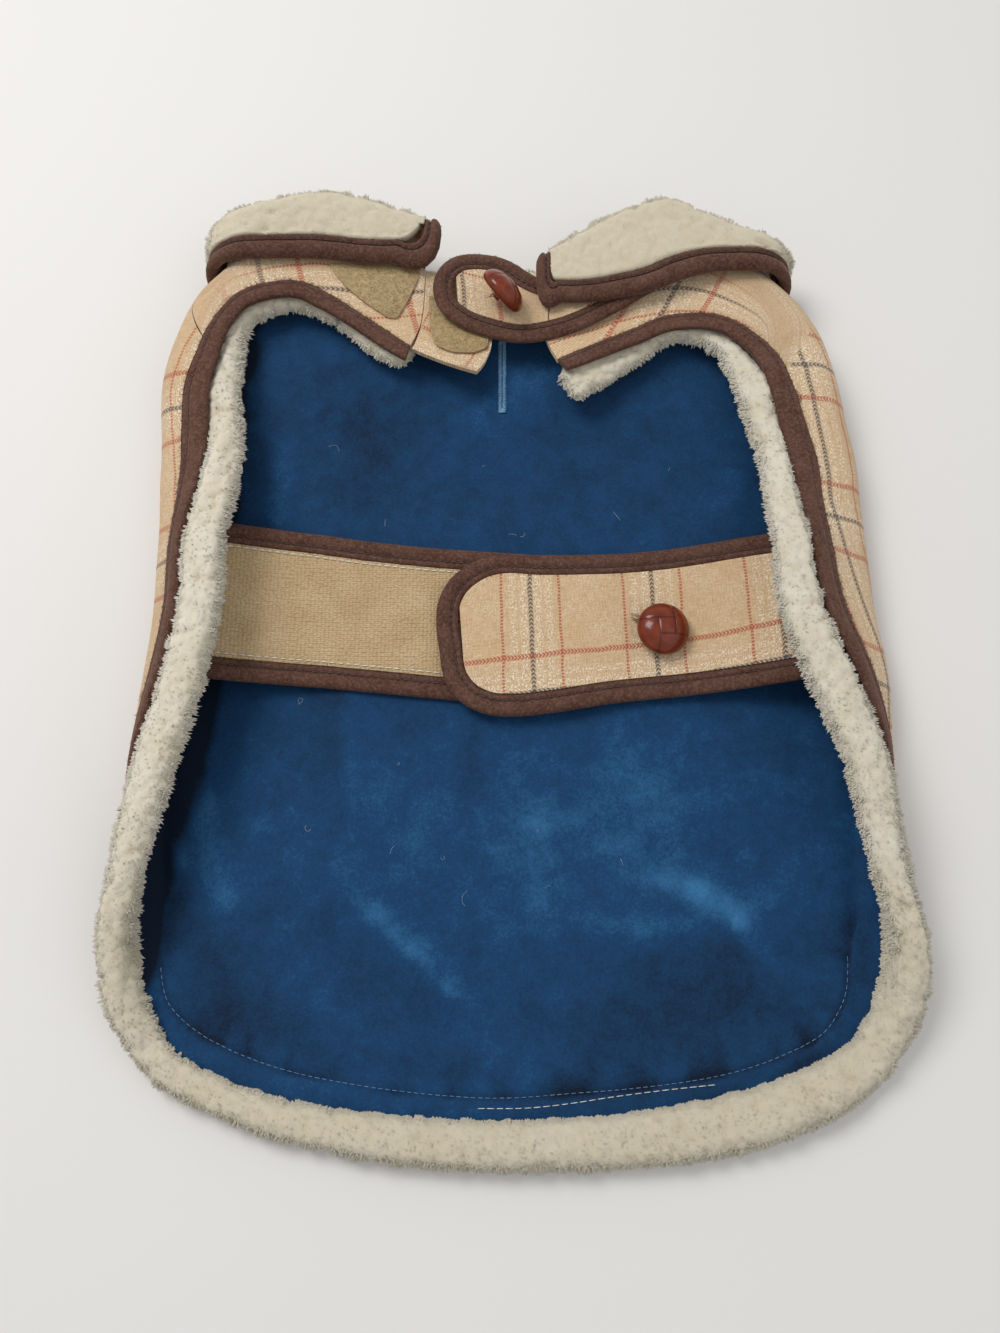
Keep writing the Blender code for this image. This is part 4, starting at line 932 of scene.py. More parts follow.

# strokes of painted highlight on the brushed nap, along creases and ridges: from x, y to x, y, strength,
# reach to the left of the stroke, reach to its right
napHighlightStrokes = (
    (-60, -79, -47, -96, 0.22, 7, 2.6), (-47, -96, -32, -109, 0.34, 5, 2.5),
    (-32, -109, -17, -123, 0.30, 6, 2.6), (-19, -121, -4, -146, 0.14, 9, 2.5),
    (-112, -52, -100, -92, 0.17, 6, 9), (-100, -92, -88, -114, 0.14, 8, 10),
    (-57, -14, -55.5, -50, 0.20, 13, 2.4), (15, -60, 14, -94, 0.18, 5.5, 4.5),
    (11, -63, 30, -62, 0.14, 4, 3), (58, -83, 72, -88, 0.40, 4, 5.5), (72, -88, 85, -98, 0.56, 6, 4),
    (85, -98, 94, -112, 0.30, 8, 1.8), (84, -100, 93, -121, 0.14, 9, 1.6),
    (32, -97, 50, -102, 0.28, 4, 5), (50, -102, 69, -99, 0.30, 5, 4), (40, -34, 60, -56, 0.12, 12, 5),
    (-120, -71, -117, -77, 0.30, 3, 3), (-41, 91, 0, 119, 0.16, 1.6, 15),
    (0, 119, 19, 137, 0.18, 1.6, 14), (-78, 112, -77, 102, 0.12, 5, 5), (97, 86, 92, 72, 0.18, 7, 7),
    (80, 112, 62, 84, 0.08, 9, 12), (-54, 60, -30, 66, 0.09, 8, 8), (-112, -118, -70, -146, 0.10, 5, 3),
    (-128, -98, -126, -122, 0.26, 5, 3), (24, -52, 96, -44, 0.08, 8, 12), (-63, 118, -72, 84, 0.17, 3, 6),
    (-80, 70, -66, 60, 0.12, 4, 6))

# share of their strength that the painted highlight strokes give
highlightStrength = 0.66

# broad patches of painted light and shade over the brushed nap, lighter or darker: x, y, reach along, reach
# across, turn in degrees, strength
lightAndShadePatches = (
    (4, -72, 52, 34, 0, 0.11), (-11, -39, 17, 6, 88, -0.17), (-66, -30, 18, 7, 90, -0.12),
    (72, -127, 32, 15, 8, -0.16), (31, -147, 10, 4, 60, -0.16), (132, -107, 14, 6, 88, -0.18),
    (-88, -132, 30, 7, -24, -0.14), (-56, -112, 24, 8, -40, -0.12), (-60, 40, 60, 50, 0, -0.07),
    (108, 84, 22, 8, 80, -0.14), (60, 130, 24, 8, 20, -0.10), (-118, -96, 26, 6, 80, -0.14),
    (-112, 60, 60, 12, 90, -0.16), (-20, -148, 26, 6, -4, -0.10), (-66, 104, 56, 32, -10, -0.17),
    (-100, -116, 30, 15, -36, -0.26), (-84, -96, 30, 12, 60, -0.06), (36, -137, 40, 9, 2, -0.12),
    (110, -72, 20, 16, 70, 0.10), (72, -114, 36, 16, 6, -0.20), (52, -156, 32, 4.5, 5, -0.16),
    (106, -146, 9, 4, 24, -0.30), (-55, 86, 26, 30, 0, -0.10), (50, 95, 30, 30, 0, -0.12),
    (-90, 76, 24, 6, 90, 0.26), (-62, -14, 14, 5, 0, -0.18), (-109, -64, 17, 5, 86, 0.20),
    (50, -64, 14, 15, 0, 0.10), (-66, -149, 17, 6, -10, 0.14), (10, -148, 13, 5, 86, 0.14),
    (-117, -115, 12, 5, 76, 0.20))
# beyond this line, as y and x, the lining turns up under the left trim, where a painted shadow of the trim
# darkens it
shadeEdge = (
    (-136, -133), (-125, -128), (-108, -124.5), (-91, -123), (-73, -119), (-54, -114.5), (-35, -110.5),
    (-15, -108.5), (40, -110), (70, -108), (117, -106.5), (130, -103.5))
shade = {"strength": 0.6, "ragged": 1.6, "size": 12.0, "fade": (-4.0, 2.0), "start": (-134.0, -116.0)}


def creaseLift(x, y, rows):
    lift = np.zeros(np.broadcast(x, y).shape)
    for x0, y0, x1, y1, height, spread in rows:
        apart = apartFrom(x, y, x0, y0, x1, y1)[0]
        lift = np.maximum(lift, height * np.exp(-(apart / spread) ** 2))
    return lift


def napAndPaintedLightAt(x, y):
    # how the pile is brushed, with painted highlights, painted light and shade and a painted shadow laid in:
    # 0 dark, 1 pale
    nap = np.full(np.shape(x), liningLook["napBase"])
    for x0, y0, x1, y1, strength, reachLeft, reachRight in napHighlightStrokes:
        apart, aside = apartFrom(x, y, x0, y0, x1, y1)
        nap += highlightStrength * strength * np.exp(-(apart / np.where(aside > 0, reachLeft, reachRight)) ** 2)
    for px, py, reach, width, turn, strength in lightAndShadePatches:
        angle = math.radians(turn)
        along = (x - px) * math.cos(angle) + (y - py) * math.sin(angle)
        aside = (y - py) * math.cos(angle) - (x - px) * math.sin(angle)
        nap += strength * np.exp(-(along / reach) ** 2 - (aside / width) ** 2)
    # painted shadow: the lining is darkened beside and under the left trim
    past = smoothRows(shadeEdge, y)[..., 0] - x + shade["ragged"] * lumps(flatSpots(x, y), shade["size"], 15)
    return nap - shade["strength"] * smoothStep(past, *shade["fade"]) * smoothStep(y, *shade["start"])


# topstitching round the rump and along both flanks, as x and y on the lining
topstitchLine = (
    (-122.5, -114), (-120, -122), (-114.5, -129.5), (-105, -137), (-95.4, -141.7), (-75.1, -148.7),
    (-50.5, -153.5), (-26.2, -156.5), (-2.1, -157.9), (26.3, -156.3), (53.6, -154), (81.4, -149.5),
    (99, -143.8), (114, -136), (122, -124), (124.5, -110))
topstitchLook = {"groove": 0.5, "grooveWidth": 1.3, "gather": 0.75, "gatherReach": 8.0, "gatherFade": 14.0,
                 "gatherSize": 6.0, "step": 1.25, "bias": 0.15, "centreY": -60.0}


def stitchedIn(s, y):
    # groove along the topstitching and gathers on its inner side, as negative heights
    look = topstitchLook
    line = smoothPath(topstitchLine, 260)
    apart = np.full(s.shape, 99.0)
    along = np.zeros(s.shape)
    below = np.zeros(s.shape)
    for step, (px, py) in enumerate(line):
        far = np.hypot(s - px, y - py)
        near = far < apart
        apart, along = np.where(near, far, apart), np.where(near, float(step), along)
        farOut = math.hypot(px, py - look["centreY"])
        below = np.where(near, np.hypot(s, y - look["centreY"]) - farOut, below)
    spots = flatSpots(along * look["step"], np.zeros_like(along))
    inner = np.exp(-(np.minimum(below, 0) / look["gatherReach"]) ** 2 - (apart / look["gatherFade"]) ** 4)
    inner = inner * (below < 1.0)
    gathers = np.clip(lumps(spots, look["gatherSize"], 12) + look["bias"], 0, 1)
    return -look["groove"] * np.exp(-(apart / look["grooveWidth"]) ** 2) - look["gather"] * inner * gathers


def liningDepth(s, y):
    # how far the velvet's underside lies above the shell's outer face
    rollStart = sectionAt(s, y)[..., 0]
    spots = flatSpots(s, y)
    flat = 1 - smoothStep(np.abs(s) - rollStart, -10.0, 4.0)
    (broad, broadSize, broadSeed), (fine, fineSize, fineSeed) = liningLook["waves"]
    wave = broad * (1 + lumps(spots, broadSize, broadSeed)) * flat
    wave += fine * (1 + lumps(spots, fineSize, fineSeed)) * flat + liningLook["loft"] + stitchedIn(s, y)
    return (coat["shellWall"] + coat["liningGap"] + creaseLift(s, y, liningFolds)
            + creaseLift(s, y, softCreases) + wave
            + liningLook["rollLift"] * smoothStep(np.abs(s) - rollStart, -14.0, -2.0))


def makeLining():
    look = liningLook
    places = backPatch(look["inset"], look["timesAcross"], look["timesUp"])
    s, y = split(places)
    depth = liningDepth(s, y)
    outer, inner = onCloth(s, y, depth), onCloth(s, y, depth + coat["liningWall"])
    nap = napAndPaintedLightAt(s, y)
    for strength, size, seed in look["napWaves"]:
        nap = nap + strength * lumps(flatSpots(s, y), size, seed)
    # painted shade in the topstitch groove and its gathers
    nap = nap + look["grooveShade"] * stitchedIn(s, y)
    piece = clothShell("velvetLining", outer, inner, places, velvet, {"nap": nap})
    return place(piece, "velvet_lining", "lining")


liningPiece = makeLining()
print("lining laid")


bindingLook = {"stitchPitch": 2.9, "fuzzEvery": 0.55, "fuzzLength": (0.5, 1.7), "fuzzWidth": 0.11,
               "fuzzStray": 0.7, "fuzzRise": (0.25, 0.3), "fuzzSeat": 0.15,
               "outerEvery": 1.1, "outerLength": (0.2, 0.8), "waver": 0.05, "waverSize": 6.0,
               "stitchShare": 0.70, "stitchLevel": 0.86}

# section of a bound edge: share of its width from the edge, share of its thickness
boundProfile = (
    (1.0, 0.15), (0.6, 0.06), (0.2, 0.0), (0.05, 0.15), (0.0, 0.42), (0.04, 0.70), (0.13, 0.94),
    (0.27, 1.10), (0.42, 1.13), (0.56, 1.02), (0.66, 0.78), (0.70, 0.66), (0.75, 0.84), (0.86, 0.90),
    (1.0, 0.62))
# the fibres of the outer edge stand on this point of the section, and point away from the next
outerFuzz = (5, 8)


def evenly(path, pitch):
    # points every pitch along a path, and the way along it there
    along = lengthAlong(path)
    where = np.arange(pitch / 2, along[-1], pitch)
    return rowsAt(where, along, path), unit(rowsAt(where, along, np.gradient(path, axis=0)))


# a lock stitch: how far along its half length, how high and how thick, in shares of its radius
stitchForm = ((-1.0, -0.5, 0.5), (-0.7, 0.35, 0.95), (0.0, 0.7, 1.0), (0.7, 0.35, 0.95), (1.0, -0.5, 0.5))


def stitches(path, pitch, share=0.72, radius=0.24, sink=0.0, seed=1):
    # a row of short lock stitches lying along the path
    middle, way = evenly(path, pitch)
    rng = np.random.default_rng(seed)
    half = pitch * share / 2 * (0.9 + 0.2 * rng.random((len(middle), 1)))
    up = np.array([0.0, 0.0, 1.0])
    steps = [middle + way * half * along + up * (high * radius - sink) for along, high, thick in stitchForm]
    return tubes(np.stack(steps, axis=1), np.array([thick for along, high, thick in stitchForm]) * radius, 4)


def edgeFuzz(edge, outward, normal, seed, every=None, reach=None):
    # loose fibres along an edge, pointing out over the neighbouring cloth
    look = bindingLook
    rng = np.random.default_rng(seed)
    every = every or look["fuzzEvery"]
    low, high = reach or look["fuzzLength"]
    along = lengthAlong(edge)
    count = int(along[-1] / every)
    where = rng.random(count) * along[-1]
    root, out, up = [rowsAt(where, along, side) for side in (edge, outward, normal)]
    out, up = unit(out), unit(up)
    way = unit(np.cross(out, up))
    length = (low + (high - low) * rng.random(count) ** 1.6)[:, None]
    lean = way * rng.normal(0, look["fuzzStray"], (count, 1)) + up * rng.normal(*look["fuzzRise"], (count, 1))
    start = root - out * 0.5 + up * rng.normal(0, look["fuzzSeat"], (count, 1))
    mid = start + (out + lean * 0.5) * (length * 0.5 + 0.3)
    end = start + (out + lean) * (length + 0.4)
    width = look["fuzzWidth"]
    return tubes(np.stack([start, mid, end], axis=1), np.array([width, width * 0.8, width * 0.25]))


def boundEdge(name, surface, lineWithin, width, under, over, seed):
    # a suede strip folded round an edge, with its stitch line and frayed inner lip
    look = bindingLook
    rings = []
    for share, level in boundProfile:
        path = lineWithin(width * share)
        spots = np.column_stack([path, np.full(len(path), share * 9)])
        wave = 1 + look["waver"] * lumps(spots, look["waverSize"], seed)
        rings.append(surface(path[:, 0], path[:, 1], under + (over - under) * level * wave))
    rings = np.stack(rings, axis=1)
    lip, edge, behind = rings[:, -1], rings[:, outerFuzz[0]], rings[:, outerFuzz[1]]
    within = lineWithin(width * 0.9).T
    top = surface(*within, over + 1.0) - surface(*within, over)
    points, blocks = joined((rings, barFaces(*rings.shape[:2])), edgeFuzz(lip, lip - rings[:, -3], top, seed),
                            edgeFuzz(edge, edge - behind, top, seed + 50, look["outerEvery"],
                                     look["outerLength"]))
    points[:, 2] = np.maximum(points[:, 2], coat["restHeight"])
    piece = newPiece(name, points, blocks, suede, np.zeros((len(points), 2)), sharp=60)
    groove = surface(*lineWithin(width * look["stitchShare"]).T, under + (over - under) * look["stitchLevel"])
    return piece, groove


# stations along the hem: from share, to share, how many
bandStations = (
    (0.0, 0.12, 24), (0.12, 0.36, 17), (0.36, 0.43, 12), (0.43, 0.62, 14), (0.62, 0.70, 12),
    (0.70, 0.88, 14), (0.88, 1.0, 24))

# section of the hem band: share of its width, how far proud of the cloth
bandProfile = (
    (0.0, 0.0), (0.05, 0.55), (0.16, 0.90), (0.40, 1.05), (0.62, 0.92), (0.72, 0.62), (0.77, 0.38),
    (0.82, 0.66), (0.93, 0.66), (1.0, 0.3))
bandLook = {"groove": 0.77, "finer": 4, "rise": (3.0, 9.0), "outerEvery": 0.9}


def makeHemBand():
    look = bandLook
    stations = np.concatenate([np.linspace(start, end, steps * look["finer"], endpoint=False)
                               for start, end, steps in bandStations] + [(1.0,)])
    lines = {}
    for share, proud in bandProfile:
        width = coat["bandWidth"] * share
        lines[share] = bandEdge(bandStart(width), 1.0, stations, width)
    within = lines[1.0]
    # under the coat the band lies flush
    lift = smoothStep(onCloth(within[:, 0], within[:, 1])[:, 2], *look["rise"])
    proudMost = coat["bandWall"] - coat["shellWall"]
    rings = [onCloth(*lines[share].T, -proudMost * proud * lift) for share, proud in bandProfile]
    rings += [onCloth(*lines[share].T, coat["shellWall"]) for share, proud in bandProfile[::-2]]
    rings = np.stack(rings, axis=1)
    lip = rings[:, len(bandProfile) - 1]
    out = lip - rings[:, len(bandProfile) - 3]
    normal = onCloth(*within.T, -1.0) - onCloth(*within.T, 0.0)
    points, blocks = joined((rings, barFaces(*rings.shape[:2])), edgeFuzz(lip, out, normal, 21),
                            edgeFuzz(rings[:, 1], rings[:, 1] - lip, normal, 22, look["outerEvery"]))
    points[:, 2] = np.maximum(points[:, 2], coat["restHeight"])
    piece = newPiece("hemBand", points, blocks, suede, np.zeros((len(points), 2)), sharp=60)
    return place(piece, "suede_binding", "hem_band"), onCloth(*lines[look["groove"]].T, -proudMost / 2 * lift)


hemBandPiece, hemGroove = makeHemBand()


# the collar along the neckline: share, stand, fall, radius of its roll, height of its edge
collarRows = (
    (0.00, 12.5, 9.5, 4.6, 6.2), (0.03, 14.5, 16, 4.7, 5.4), (0.08, 19, 23.5, 4.8, 4.6),
    (0.12, 20, 24.5, 4.8, 4.4), (0.16, 16.5, 22, 4.7, 4.4), (0.19, 12.5, 18, 4.4, 4.2),
    (0.222, 8, 12.5, 4, 4), (0.24, 8.5, 14, 3, 3.6), (0.26, 9.5, 17, 2.4, 3.2), (0.32, 13, 25, 2.4, 3.2),
    (0.50, 16, 30, 2.4, 3.2), (0.66, 13, 25, 2.4, 3.2), (0.70, 9, 17, 2.4, 3.2),
    (0.718, 7.5, 13, 2.9, 3.6), (0.742, 6, 10.5, 4, 4), (0.775, 7.5, 14, 4.5, 5),
    (0.80, 12.5, 21, 4.9, 6.2), (0.83, 19.5, 31, 5.2, 7.2), (0.87, 18, 33.5, 5.4, 7.6),
    (0.91, 15, 30.5, 5.4, 7.8), (0.96, 10.5, 23, 5.4, 8), (1.00, 6.5, 14, 5.2, 8))
collarSizes = {"start": (25.0, 167.5), "end": (15.5, 155.5), "standDepth": 1.5, "corners": (22.0, 12.5),
               "wall": 4.2, "binding": 9.0, "cutBack": 8.0, "stations": 380, "moreTufts": 1500,
               "paleness": 0.35, "longer": 1.25, "pressed": 0.8, "comb": 0.25}
cornerAngles = (15, 30, 45, 60, 75)


def makeNeckline():
    left = [overFlap(-1, *collarSizes["start"])] + [overFlap(-1, x, y) for x, y in leftNeck[::-1]]
    right = [overFlap(1, x, y) for x, y in rightNeck[:-1]] + [overFlap(1, *collarSizes["end"])]
    half = [(-s, y) for s, y in nape[:0:-1]]
    return smoothPath(left + [shoulder(-1)] + half + list(nape) + [shoulder(1)] + right, 801)


neckline = makeNeckline()
neckLength = pathLength(neckline)


def collarAt(length):
    return np.moveaxis(smoothRows(collarRows, np.asarray(length) / neckLength), -1, 0)


def collarWay(length):
    # the way over the collar from the neck seam to its edge
    stand, fall, roll = collarAt(length)[:3]
    return stand + math.pi * roll + fall


def sameShare(s, y, newY):
    # the place across the cloth at another level that has the same share of its section
    flat, roll, turn = np.moveaxis(sectionAt(s, y), -1, 0)[:3]
    newFlat, newRoll, newTurn = np.moveaxis(sectionAt(s, newY), -1, 0)[:3]
    turn, newTurn = np.radians(turn), np.radians(newTurn)
    beyond = np.abs(s) - flat
    share = np.clip(beyond / (roll * turn), 0, 1)
    straight = np.clip(beyond - roll * turn, 0, None) * (newFlat / flat)
    moved = np.where(beyond < 0, np.abs(s) * newFlat / flat, newFlat + share * newRoll * newTurn + straight)
    return np.where(s < 0, -moved, moved)


def collarSurface(length, way, height=0.0):
    # point at a length along the neck seam and a way over the collar, height off its middle layer
    length, way, height = np.broadcast_arrays(np.asarray(length, float), way, height)
    share = np.linspace(0, neckLength, len(neckline))
    s = np.interp(length, share, neckline[:, 0])
    y = np.interp(length, share, neckline[:, 1])
    stand, fall, roll, edge = collarAt(length)
    turn = np.clip((way - stand) / roll, 0, math.pi)
    down = np.clip(way - stand - math.pi * roll, 0, None)
    reach = coat["neckGap"] + np.minimum(way, stand) + roll * np.sin(turn) - down
    below = y + np.minimum(reach, 0.0)
    s = sameShare(s, y, below)
    base = onCloth(s, below)
    outward = base - onCloth(s, below, 1.0)
    outward[..., 1] = 0
    outward = unit(outward)
    top = 2 * roll - collarSizes["standDepth"]
    level = roll * (1 - np.cos(turn)) - collarSizes["standDepth"] + (edge - top) * (down / fall) ** 1.5
    above = np.maximum(reach, 0.0) + height * np.sin(turn)
    level = level - height * np.cos(turn)
    point = base + outward * level[..., None] + np.array([0.0, 1.0, 0.0]) * above[..., None]
    point[..., 2] = np.maximum(point[..., 2], coat["restHeight"])
    return point


def cornerPoint(length, near, radius, angle, direction):
    angle = math.radians(angle)
    way = float(collarWay(length)) - near
    return length + direction * radius * math.cos(angle), way + radius * math.sin(angle)


def collarOutline(within):
    # the collar's free edge, this far inside it, as lengths and ways
    first, last = [max(corner - within, 0.6) for corner in collarSizes["corners"]]
    start, finish = within + first, neckLength - within - last
    ends = []
    for at, near in ((finish, within + last), (start, within + first)):
        stand, roll = collarAt(at)[[0, 2]]
        ways = np.concatenate([[0.6, 1.0], np.linspace(0.1, 1.0, 14) * float(collarWay(at) - near)])
        back = collarSizes["cutBack"] * (1 - smoothStep(ways, 0.0, float(stand + math.pi * roll / 2)))
        ends.append(np.column_stack([within + back, ways]))
    points = [(neckLength - length, way) for length, way in ends[0]]
    points += [cornerPoint(finish, within + last, last, angle, 1) for angle in cornerAngles]
    points += [(length, float(collarWay(length)) - within) for length in np.linspace(finish, start, 210)]
    points += [cornerPoint(start, within + first, first, angle, -1) for angle in cornerAngles[::-1]]
    points += [(length, way) for length, way in ends[1][::-1]]
    return np.array(points, float)


halfWall = collarSizes["wall"] / 2
collarBinding, collarGroove = boundEdge("collarBinding", collarSurface, collarOutline, collarSizes["binding"],
                                        -halfWall - 0.3, halfWall + 0.4, 31)
place(collarBinding, "suede_binding", "collar_binding")
print("bindings folded")


pileLook = {"tufts": 8500, "length": (1.0, 2.0), "width": (0.40, 0.60), "tuftDepth": 0.65, "tuftSize": 2.8,
            "clump": 3.2, "lean": 0.30, "stray": 0.22, "rooted": 0.35, "foot": 0.2, "soft": 0.85,
            "upward": 0.8, "cushion": 1.9, "topCushion": 1.1, "cushionSize": 3.8, "upright": 0.4,
            "lump": 0.45, "faceUp": (0.35, 0.85), "topLength": 0.42, "topShare": 0.16, "underside": -0.25,
            "undersideShare": 0.08, "ringPitch": 0.85, "around": 56, "lowest": 0.1}
# share of the paler tip's colour at each corner of a lock: painted shade darkens the roots
lockShadeRamp = (0.25, 0.25, 0.25, 0.7, 0.7, 0.7, 1.0)


def onTop(normal, value):
    # 1 at the sides of the pile, falling to this value where its face looks up
    return 1 - (1 - value) * smoothStep(normal[..., 2], *pileLook["faceUp"])


def pileTufts(root, normal, dome, comb, seed, shorter):
    # tapering locks that stand on the cushions of the pile, shorter where one looks down on them
    look = pileLook
    rng = np.random.default_rng(seed)
    count = len(root)
    drift = np.stack([lumps(root, look["clump"], seed + k) for k in (1, 2, 3)], axis=-1)
    lean = comb + drift * look["lean"] + rng.normal(0, look["stray"], (count, 3))
    lean -= dome * np.sum(lean * dome, axis=1)[:, None]
    low, high = look["length"]
    tufts = lumps(root * (1.0, 1.0, 0.3), look["tuftSize"], seed + 4)
    reach = (low + (high - low) * rng.random(count)) * (1 + look["tuftDepth"] * tufts)
    reach = reach * onTop(normal, look["topLength"])
    reach = (reach * shorter)[:, None]
    foot = root - dome * look["rooted"]
    middle = foot + reach * (dome * 0.55 + lean * 0.3) + dome * look["foot"]
    tip = foot + reach * (dome * 0.95 + lean * 0.8) + dome * look["foot"]
    low, high = look["width"]
    width = low + (high - low) * rng.random(count)
    flatSide = dome * 0.3 + np.array([0.0, 0.0, 1.0])
    points, blocks, facing = pointedLocks(foot, middle, tip, width, flatSide)
    # light that passes through the fine fibres is had by shading them as if they faced further up
    lit = unit(normal * 0.5 + dome * 0.5 + np.array([0.0, 0.0, look["upward"]]))
    soft = unit(lit[:, None] * look["soft"] + facing * (1 - look["soft"])).reshape(-1, 3)
    # painted shade at each lock's root, with a random tone per lock
    toneAndShade = np.tile(lockShadeRamp, count) * np.repeat(0.8 + 0.2 * rng.random(count), len(lockShadeRamp))
    return points, blocks, soft, toneAndShade


def gridNormal(grid, wrap):
    # the way off a grid of points, along its rows and round its columns
    roundWay = np.roll(grid, -1, axis=1) - np.roll(grid, 1, axis=1) if wrap else np.gradient(grid, axis=1)
    alongWay = np.gradient(grid, axis=0)
    return np.cross(alongWay, roundWay), alongWay, roundWay


def fleeceSkin(rings, facing, wrap, seed, tufts, shapeSeed=101):
    # a fleece skin in rounded cushions over rings of points, and where its locks grow
    look = pileLook
    normal, alongWay, roundWay = gridNormal(rings, wrap)
    area = np.linalg.norm(normal, axis=-1)
    side = -1.0 if np.sum(facing * normal) < 0 else 1.0
    normal = side * unit(normal)
    # at the sides the cushions stand upright, so that the outline is scalloped
    height = cushions(rings * (1.0, 1.0, look["upright"]), look["cushionSize"], shapeSeed)
    deep = look["cushion"] * onTop(normal, look["topCushion"])
    lift = deep * (height - 0.75) + look["lump"] * (0.5 * lumps(rings, 5.5, shapeSeed + 7)
                                                    + 0.5 * lumps(rings, 1.7, shapeSeed + 8))
    skin = rings + normal * lift[..., None]
    dome = side * unit(gridNormal(skin, wrap)[0])
    rng = np.random.default_rng(seed)
    # few locks where they aren't seen, or are seen from above
    area = area * np.where(normal[..., 2] < look["underside"], look["undersideShare"], 1.0)
    area = (area * onTop(normal, look["topShare"])).ravel()
    pick = rng.choice(area.size, tufts, p=area / area.sum())
    jitter = (unit(alongWay).reshape(-1, 3)[pick] * rng.uniform(-0.5, 0.5, (tufts, 1))
              + unit(roundWay).reshape(-1, 3)[pick] * rng.uniform(-0.5, 0.5, (tufts, 1)))
    root = skin.reshape(-1, 3)[pick] + jitter
    return skin, root, normal.reshape(-1, 3)[pick], dome.reshape(-1, 3), pick, height


# the trim along the hem: share, width, thickness, tilt in degrees, reach out of the edge, height over the
# shell's outer face
trimRows = (
    (0.000, 12, 8, 180, -6.8, 7.6), (0.025, 12, 8, 180, -4.6, 7.6), (0.045, 12, 8, 180, -6.2, 7.6),
    (0.075, 12, 8.5, 172, -4.2, 8), (0.095, 12, 10, 150, -0.8, 9.2), (0.115, 12, 11.6, 115, 2.8, 8.4),
    (0.135, 12, 13, 85, 4.6, 6.3), (0.155, 12.5, 12, 60, 6, 4.8), (0.180, 13.5, 12, 42, 7.4, 5.8),
    (0.210, 15, 12, 34, 8.2, 6.2), (0.240, 15.4, 12, 32, 8.4, 6.4), (0.266, 15.7, 12, 31, 8.5, 7.4),
    (0.300, 16, 12, 30, 8.7, 6.4), (0.330, 15.5, 12, 25, 8.4, 5.2), (0.365, 13, 11, 10, 7.2, 5),
    (0.395, 10.8, 10.4, 3, 5.5, 5.4), (0.430, 12.2, 11, 0, 5.9, 5.6), (0.470, 14.6, 12, 0, 7, 6),
    (0.530, 16, 12, 0, 7.7, 6.1), (0.580, 18.5, 12, 0, 8.9, 6.1), (0.612, 18.2, 12, 0, 8.8, 6.1),
    (0.640, 15.6, 12, 4, 7.6, 5.8), (0.672, 16.2, 12, 18, 8.8, 4.8), (0.700, 16.5, 12, 28, 8.9, 6),
    (0.740, 16, 12, 32, 8.7, 6.6), (0.758, 15.8, 12, 32, 8.6, 7.4), (0.800, 15, 12, 34, 8.2, 5.8),
    (0.822, 13, 10.6, 38, 7.6, 3.6), (0.840, 11.4, 9.6, 42, 6.8, 2.8), (0.870, 11.4, 10.8, 60, 4.9, 4),
    (0.895, 12, 13.6, 90, 5.2, 5.8), (0.912, 12.5, 12.5, 125, 3.2, 9), (0.930, 12, 8.5, 160, -3.2, 8.6),
    (0.942, 12, 8.5, 168, -5.4, 8.4), (0.960, 13, 8.5, 178, -2.6, 8.2), (0.980, 14, 8.8, 186, 0.6, 8),
    (1.000, 15, 9, 190, 3, 7.6))
trimSplits = (0.004, 0.40, 0.66, 1.0)
trimLook = {"pileRoom": 0.04, "endRound": 5.0, "endLeast": 0.15, "squareness": 0.8, "spread": 0.4,
            "rump": (0.36, 0.42, 0.64, 0.75), "comb": 0.35, "shorterInside": 0.5, "joinReach": 3.0,
            "stainAt": (-134.5, -127.0, 10.0), "stainSize": 1.6, "toneShift": 0.5, "toneShiftFrom": (70.0, 130.0)}


def atRump(share):
    # 1 along the rump, 0 at the flanks
    rise, full, fall, past = trimLook["rump"]
    return smoothStep(share, rise, full) * (1 - smoothStep(share, fall, past))


def squared(wave):
    # a circle's wave made a little squarer
    return np.sign(wave) * np.abs(wave) ** trimLook["squareness"]


